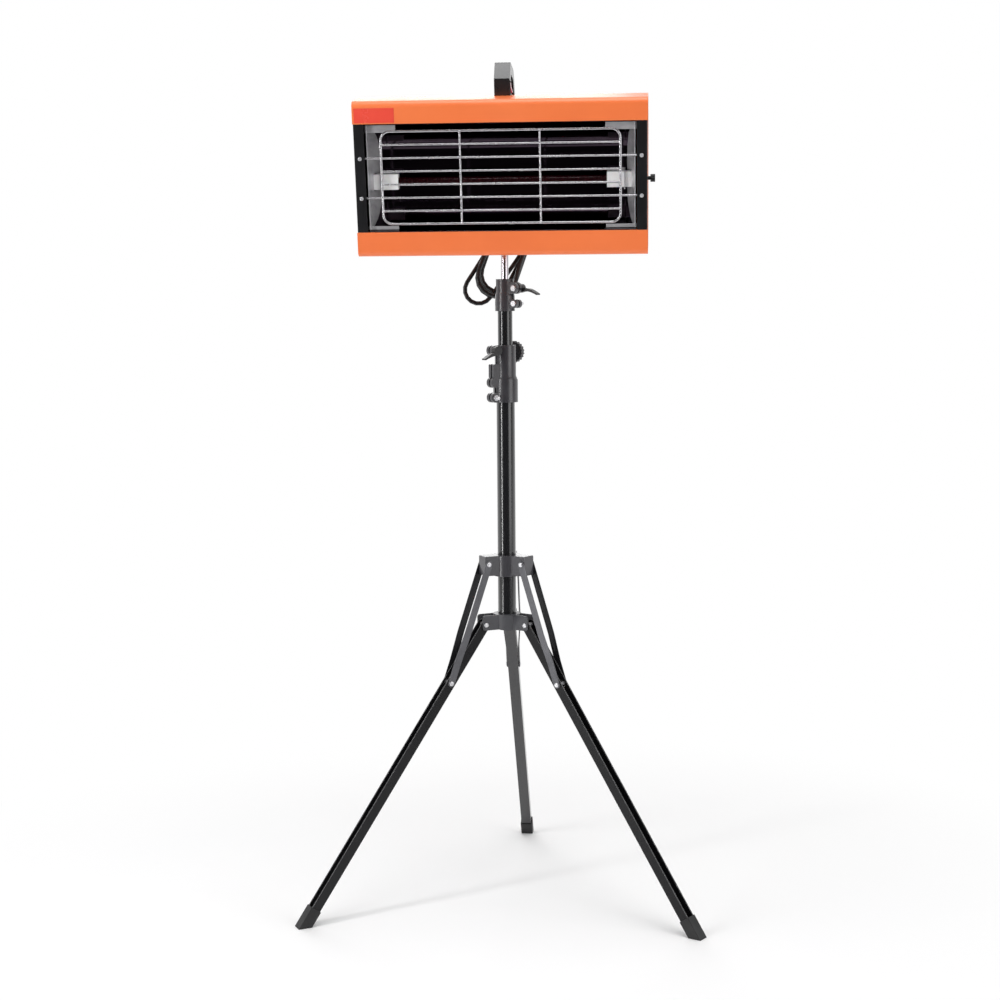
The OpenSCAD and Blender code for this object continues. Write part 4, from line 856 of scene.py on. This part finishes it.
def mains_plug():
    shape = bmesh.new()
    turned(shape, PLUG_START + ribbed(-0.0108, 0.0112, 0.0042, 0.0068, PLUG_RIBS) + PLUG_BODY, PLUG_STEPS)
    place = Matrix.Translation(plug_at) @ facing(plug_way)
    return build("plug_body", shape, place, "adapter", "cord")


plug = mains_plug()
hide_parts("plug")
print("plug top", [round(v, 3) for v in plug.bound_box[6]])

# %% [markdown]
# The switch sits in the right flank of the handle behind a thin raised frame. The
# frame starts as a flat rectangle. An inset gives its opening, an extrusion its
# height, and a bevel its soft edge.

# %% Frame round the switch
FRAME_WIDE, FRAME_HIGH = 0.0122, 0.0188
FRAME_BORDER, FRAME_RISE = 0.0013, 0.0009
FRAME_EDGE, LONG_EDGE = 0.0003, 0.002  # only edges longer than the second one are bevelled
FRAME_AT = (0.01065, 0.059, 0.1075)


def switch_frame():
    shape = bmesh.new()
    bmesh.ops.create_grid(shape, x_segments=1, y_segments=1, size=0.5)
    bmesh.ops.scale(shape, vec=(FRAME_WIDE, FRAME_HIGH, 1), verts=shape.verts)
    bmesh.ops.inset_individual(shape, faces=shape.faces[:], thickness=FRAME_BORDER, use_even_offset=True)
    opening = min(shape.faces, key=lambda f: f.calc_center_median().length)
    bmesh.ops.delete(shape, geom=[opening], context="FACES_ONLY")
    raise_faces(shape, FRAME_RISE)
    bmesh.ops.bevel(shape, geom=[e for e in shape.edges if e.calc_length() > LONG_EDGE],
                    offset=FRAME_EDGE, segments=2, profile=0.5, affect="EDGES", material=-1)
    upright = Matrix.Rotation(math.pi / 2, 4, "Y") @ Matrix.Rotation(math.pi / 2, 4, "Z")
    place = IN_HEAD @ Matrix.Translation(FRAME_AT) @ upright
    return build("switch_frame", shape, place, "head", "handle")


print("switch frame", len(switch_frame().data.polygons), "faces")

# %% [markdown]
# The studio is plain: a pale floor, a white room and four soft panels. A narrow panel
# on the left and a broad one on the right draw the long stripes on the black tubes,
# because a round tube shows each panel as a stripe. The other two light the head's
# top and its back.

# %% Light
def panel(name, place, target, size, power):
    """A soft panel that faces its target, with its size in metres and its power in watts."""
    data = bpy.data.lights.new(name, "AREA")
    data.shape = "RECTANGLE"
    data.size, data.size_y = size
    data.energy = power
    way = (Vector(target) - Vector(place)).to_track_quat("-Z", "Y")
    add_object(name, data).matrix_world = Matrix.Translation(place) @ way.to_matrix().to_4x4()


panel("strip left", (-1.8, -1.26, 1.0), (0, 0, 0.75), (0.2, 2.2), 22)
panel("panel right", (1.9, -1.5, 1.1), (0, 0, 0.7), (1.5, 2.0), 18)
panel("panel above", (0.1, -0.6, 2.7), (0, 0, 0.5), (1.2, 1.5), 22)
panel("panel behind", (-0.5, 2.3, 1.6), (0, 0, 0.8), (1.6, 1.4), 20)
print("panels", len(bpy.data.lights))

# %% [markdown]
# The world uses the light path: rays from the camera, from glossy surfaces and
# through glass see the white room, and all others see a softer grey that lights the
# object from everywhere. As in a real studio, the wall behind the camera is dark. Only
# reflections see it, and it gives the black tubes their black core.

# %% Room
SOFT_GREY = 0.5
DARK_WALL = 0.05
WALL_FROM, WALL_TO = -0.35, 0.5  # where the dark wall turns to white, as the direction's Y


def white_room():
    world = bpy.data.worlds.new("studio")
    bpy.context.scene.world = world
    world.use_nodes = True
    tree = world.node_tree
    tree.nodes.clear()
    path = add_node(tree, "ShaderNodeLightPath")
    either = add_node(tree, "ShaderNodeMath", "MAXIMUM")
    any_view = add_node(tree, "ShaderNodeMath", "MAXIMUM")
    place = add_node(tree, "ShaderNodeTexCoord")
    axes = add_node(tree, "ShaderNodeSeparateXYZ")
    wall = add_node(tree, "ShaderNodeMapRange", From_Min=WALL_FROM, From_Max=WALL_TO, To_Min=DARK_WALL)
    wall.interpolation_type = "SMOOTHSTEP"
    reflected = add_node(tree, "ShaderNodeMix", A=1.0)
    dome = add_node(tree, "ShaderNodeBackground", Color=(1, 1, 1, 1), Strength=SOFT_GREY)
    white = add_node(tree, "ShaderNodeBackground")
    choose = add_node(tree, "ShaderNodeMixShader")
    join(tree, (path, "Is Camera Ray", either, 0), (path, "Is Glossy Ray", either, 1),
         (either, 0, any_view, 0), (path, "Is Transmission Ray", any_view, 1),
         (place, "Generated", axes, 0), (axes, "Y", wall, "Value"),
         (path, "Is Glossy Ray", reflected, "Factor"), (wall, "Result", reflected, "B"),
         (reflected, "Result", white, "Color"),
         (any_view, 0, choose, 0), (dome, 0, choose, 1), (white, 0, choose, 2),
         (choose, 0, add_node(tree, "ShaderNodeOutputWorld"), 0))
    return world


print("room", white_room().name)
bpy.context.scene.view_settings.view_transform = "Standard"

# %% [markdown]
# The floor is matt and nearly white near the feet, where it holds the shadow. Further
# out it fades to the plain white of the room, so no horizon line crosses the picture.
# In front it ends a metre from the post, so that the tubes don't mirror it.

# %% Floor
FLOOR_HALF = 6
FLOOR_FRONT = -1.0
FADE_FROM, FADE_TO = 0.4, 0.97  # distances from the post


def floor_finish():
    material = bpy.data.materials.new("pale floor")
    material.use_nodes = True
    tree = material.node_tree
    shader = tree.nodes["Principled BSDF"]
    set_values(shader, {"Roughness": 0.9, "Specular_IOR_Level": 0.1})
    tone = use_group(material, mottle, Scale=1.5)
    tree.links.new(blend_colours(material, tone.outputs["Value"], (0.95, 0.95, 0.95), (0.93, 0.93, 0.935)),
                   shader.inputs["Base Color"])
    place = add_node(tree, "ShaderNodeTexCoord")
    length = add_node(tree, "ShaderNodeVectorMath", "LENGTH")
    fade = add_node(tree, "ShaderNodeMapRange", From_Min=FADE_FROM, From_Max=FADE_TO)
    fade.interpolation_type = "SMOOTHSTEP"
    path = add_node(tree, "ShaderNodeLightPath")
    seen = add_node(tree, "ShaderNodeMath", "MAXIMUM")
    share = add_node(tree, "ShaderNodeMath", "MULTIPLY")
    glow = add_node(tree, "ShaderNodeEmission")
    mix = add_node(tree, "ShaderNodeMixShader")
    join(tree, (place, "Object", length, 0), (length, "Value", fade, "Value"),
         (path, "Is Camera Ray", seen, 0), (path, "Is Glossy Ray", seen, 1),
         (fade, "Result", share, 0), (seen, 0, share, 1), (share, 0, mix, 0),
         (shader, 0, mix, 1), (glow, 0, mix, 2), (mix, 0, tree.nodes["Material Output"], "Surface"))
    return material


def pale_floor():
    shape = bmesh.new()
    bmesh.ops.create_grid(shape, x_segments=1, y_segments=1, size=FLOOR_HALF)
    for corner in shape.verts:
        corner.co.y = max(corner.co.y, FLOOR_FRONT)
    mesh = bpy.data.meshes.new("floor")
    shape.to_mesh(mesh)
    shape.free()
    mesh.materials.append(floor_finish())
    return add_object("floor", mesh)


floor = pale_floor()
print("floor", [round(v, 2) for v in floor.dimensions])

# %% [markdown]
# Last, the script prints the frame's nodes that are still shown as they are.

# %% Finish
print("nodes shown as they are", [name for name in nodes if not nodes[name].hide_render])
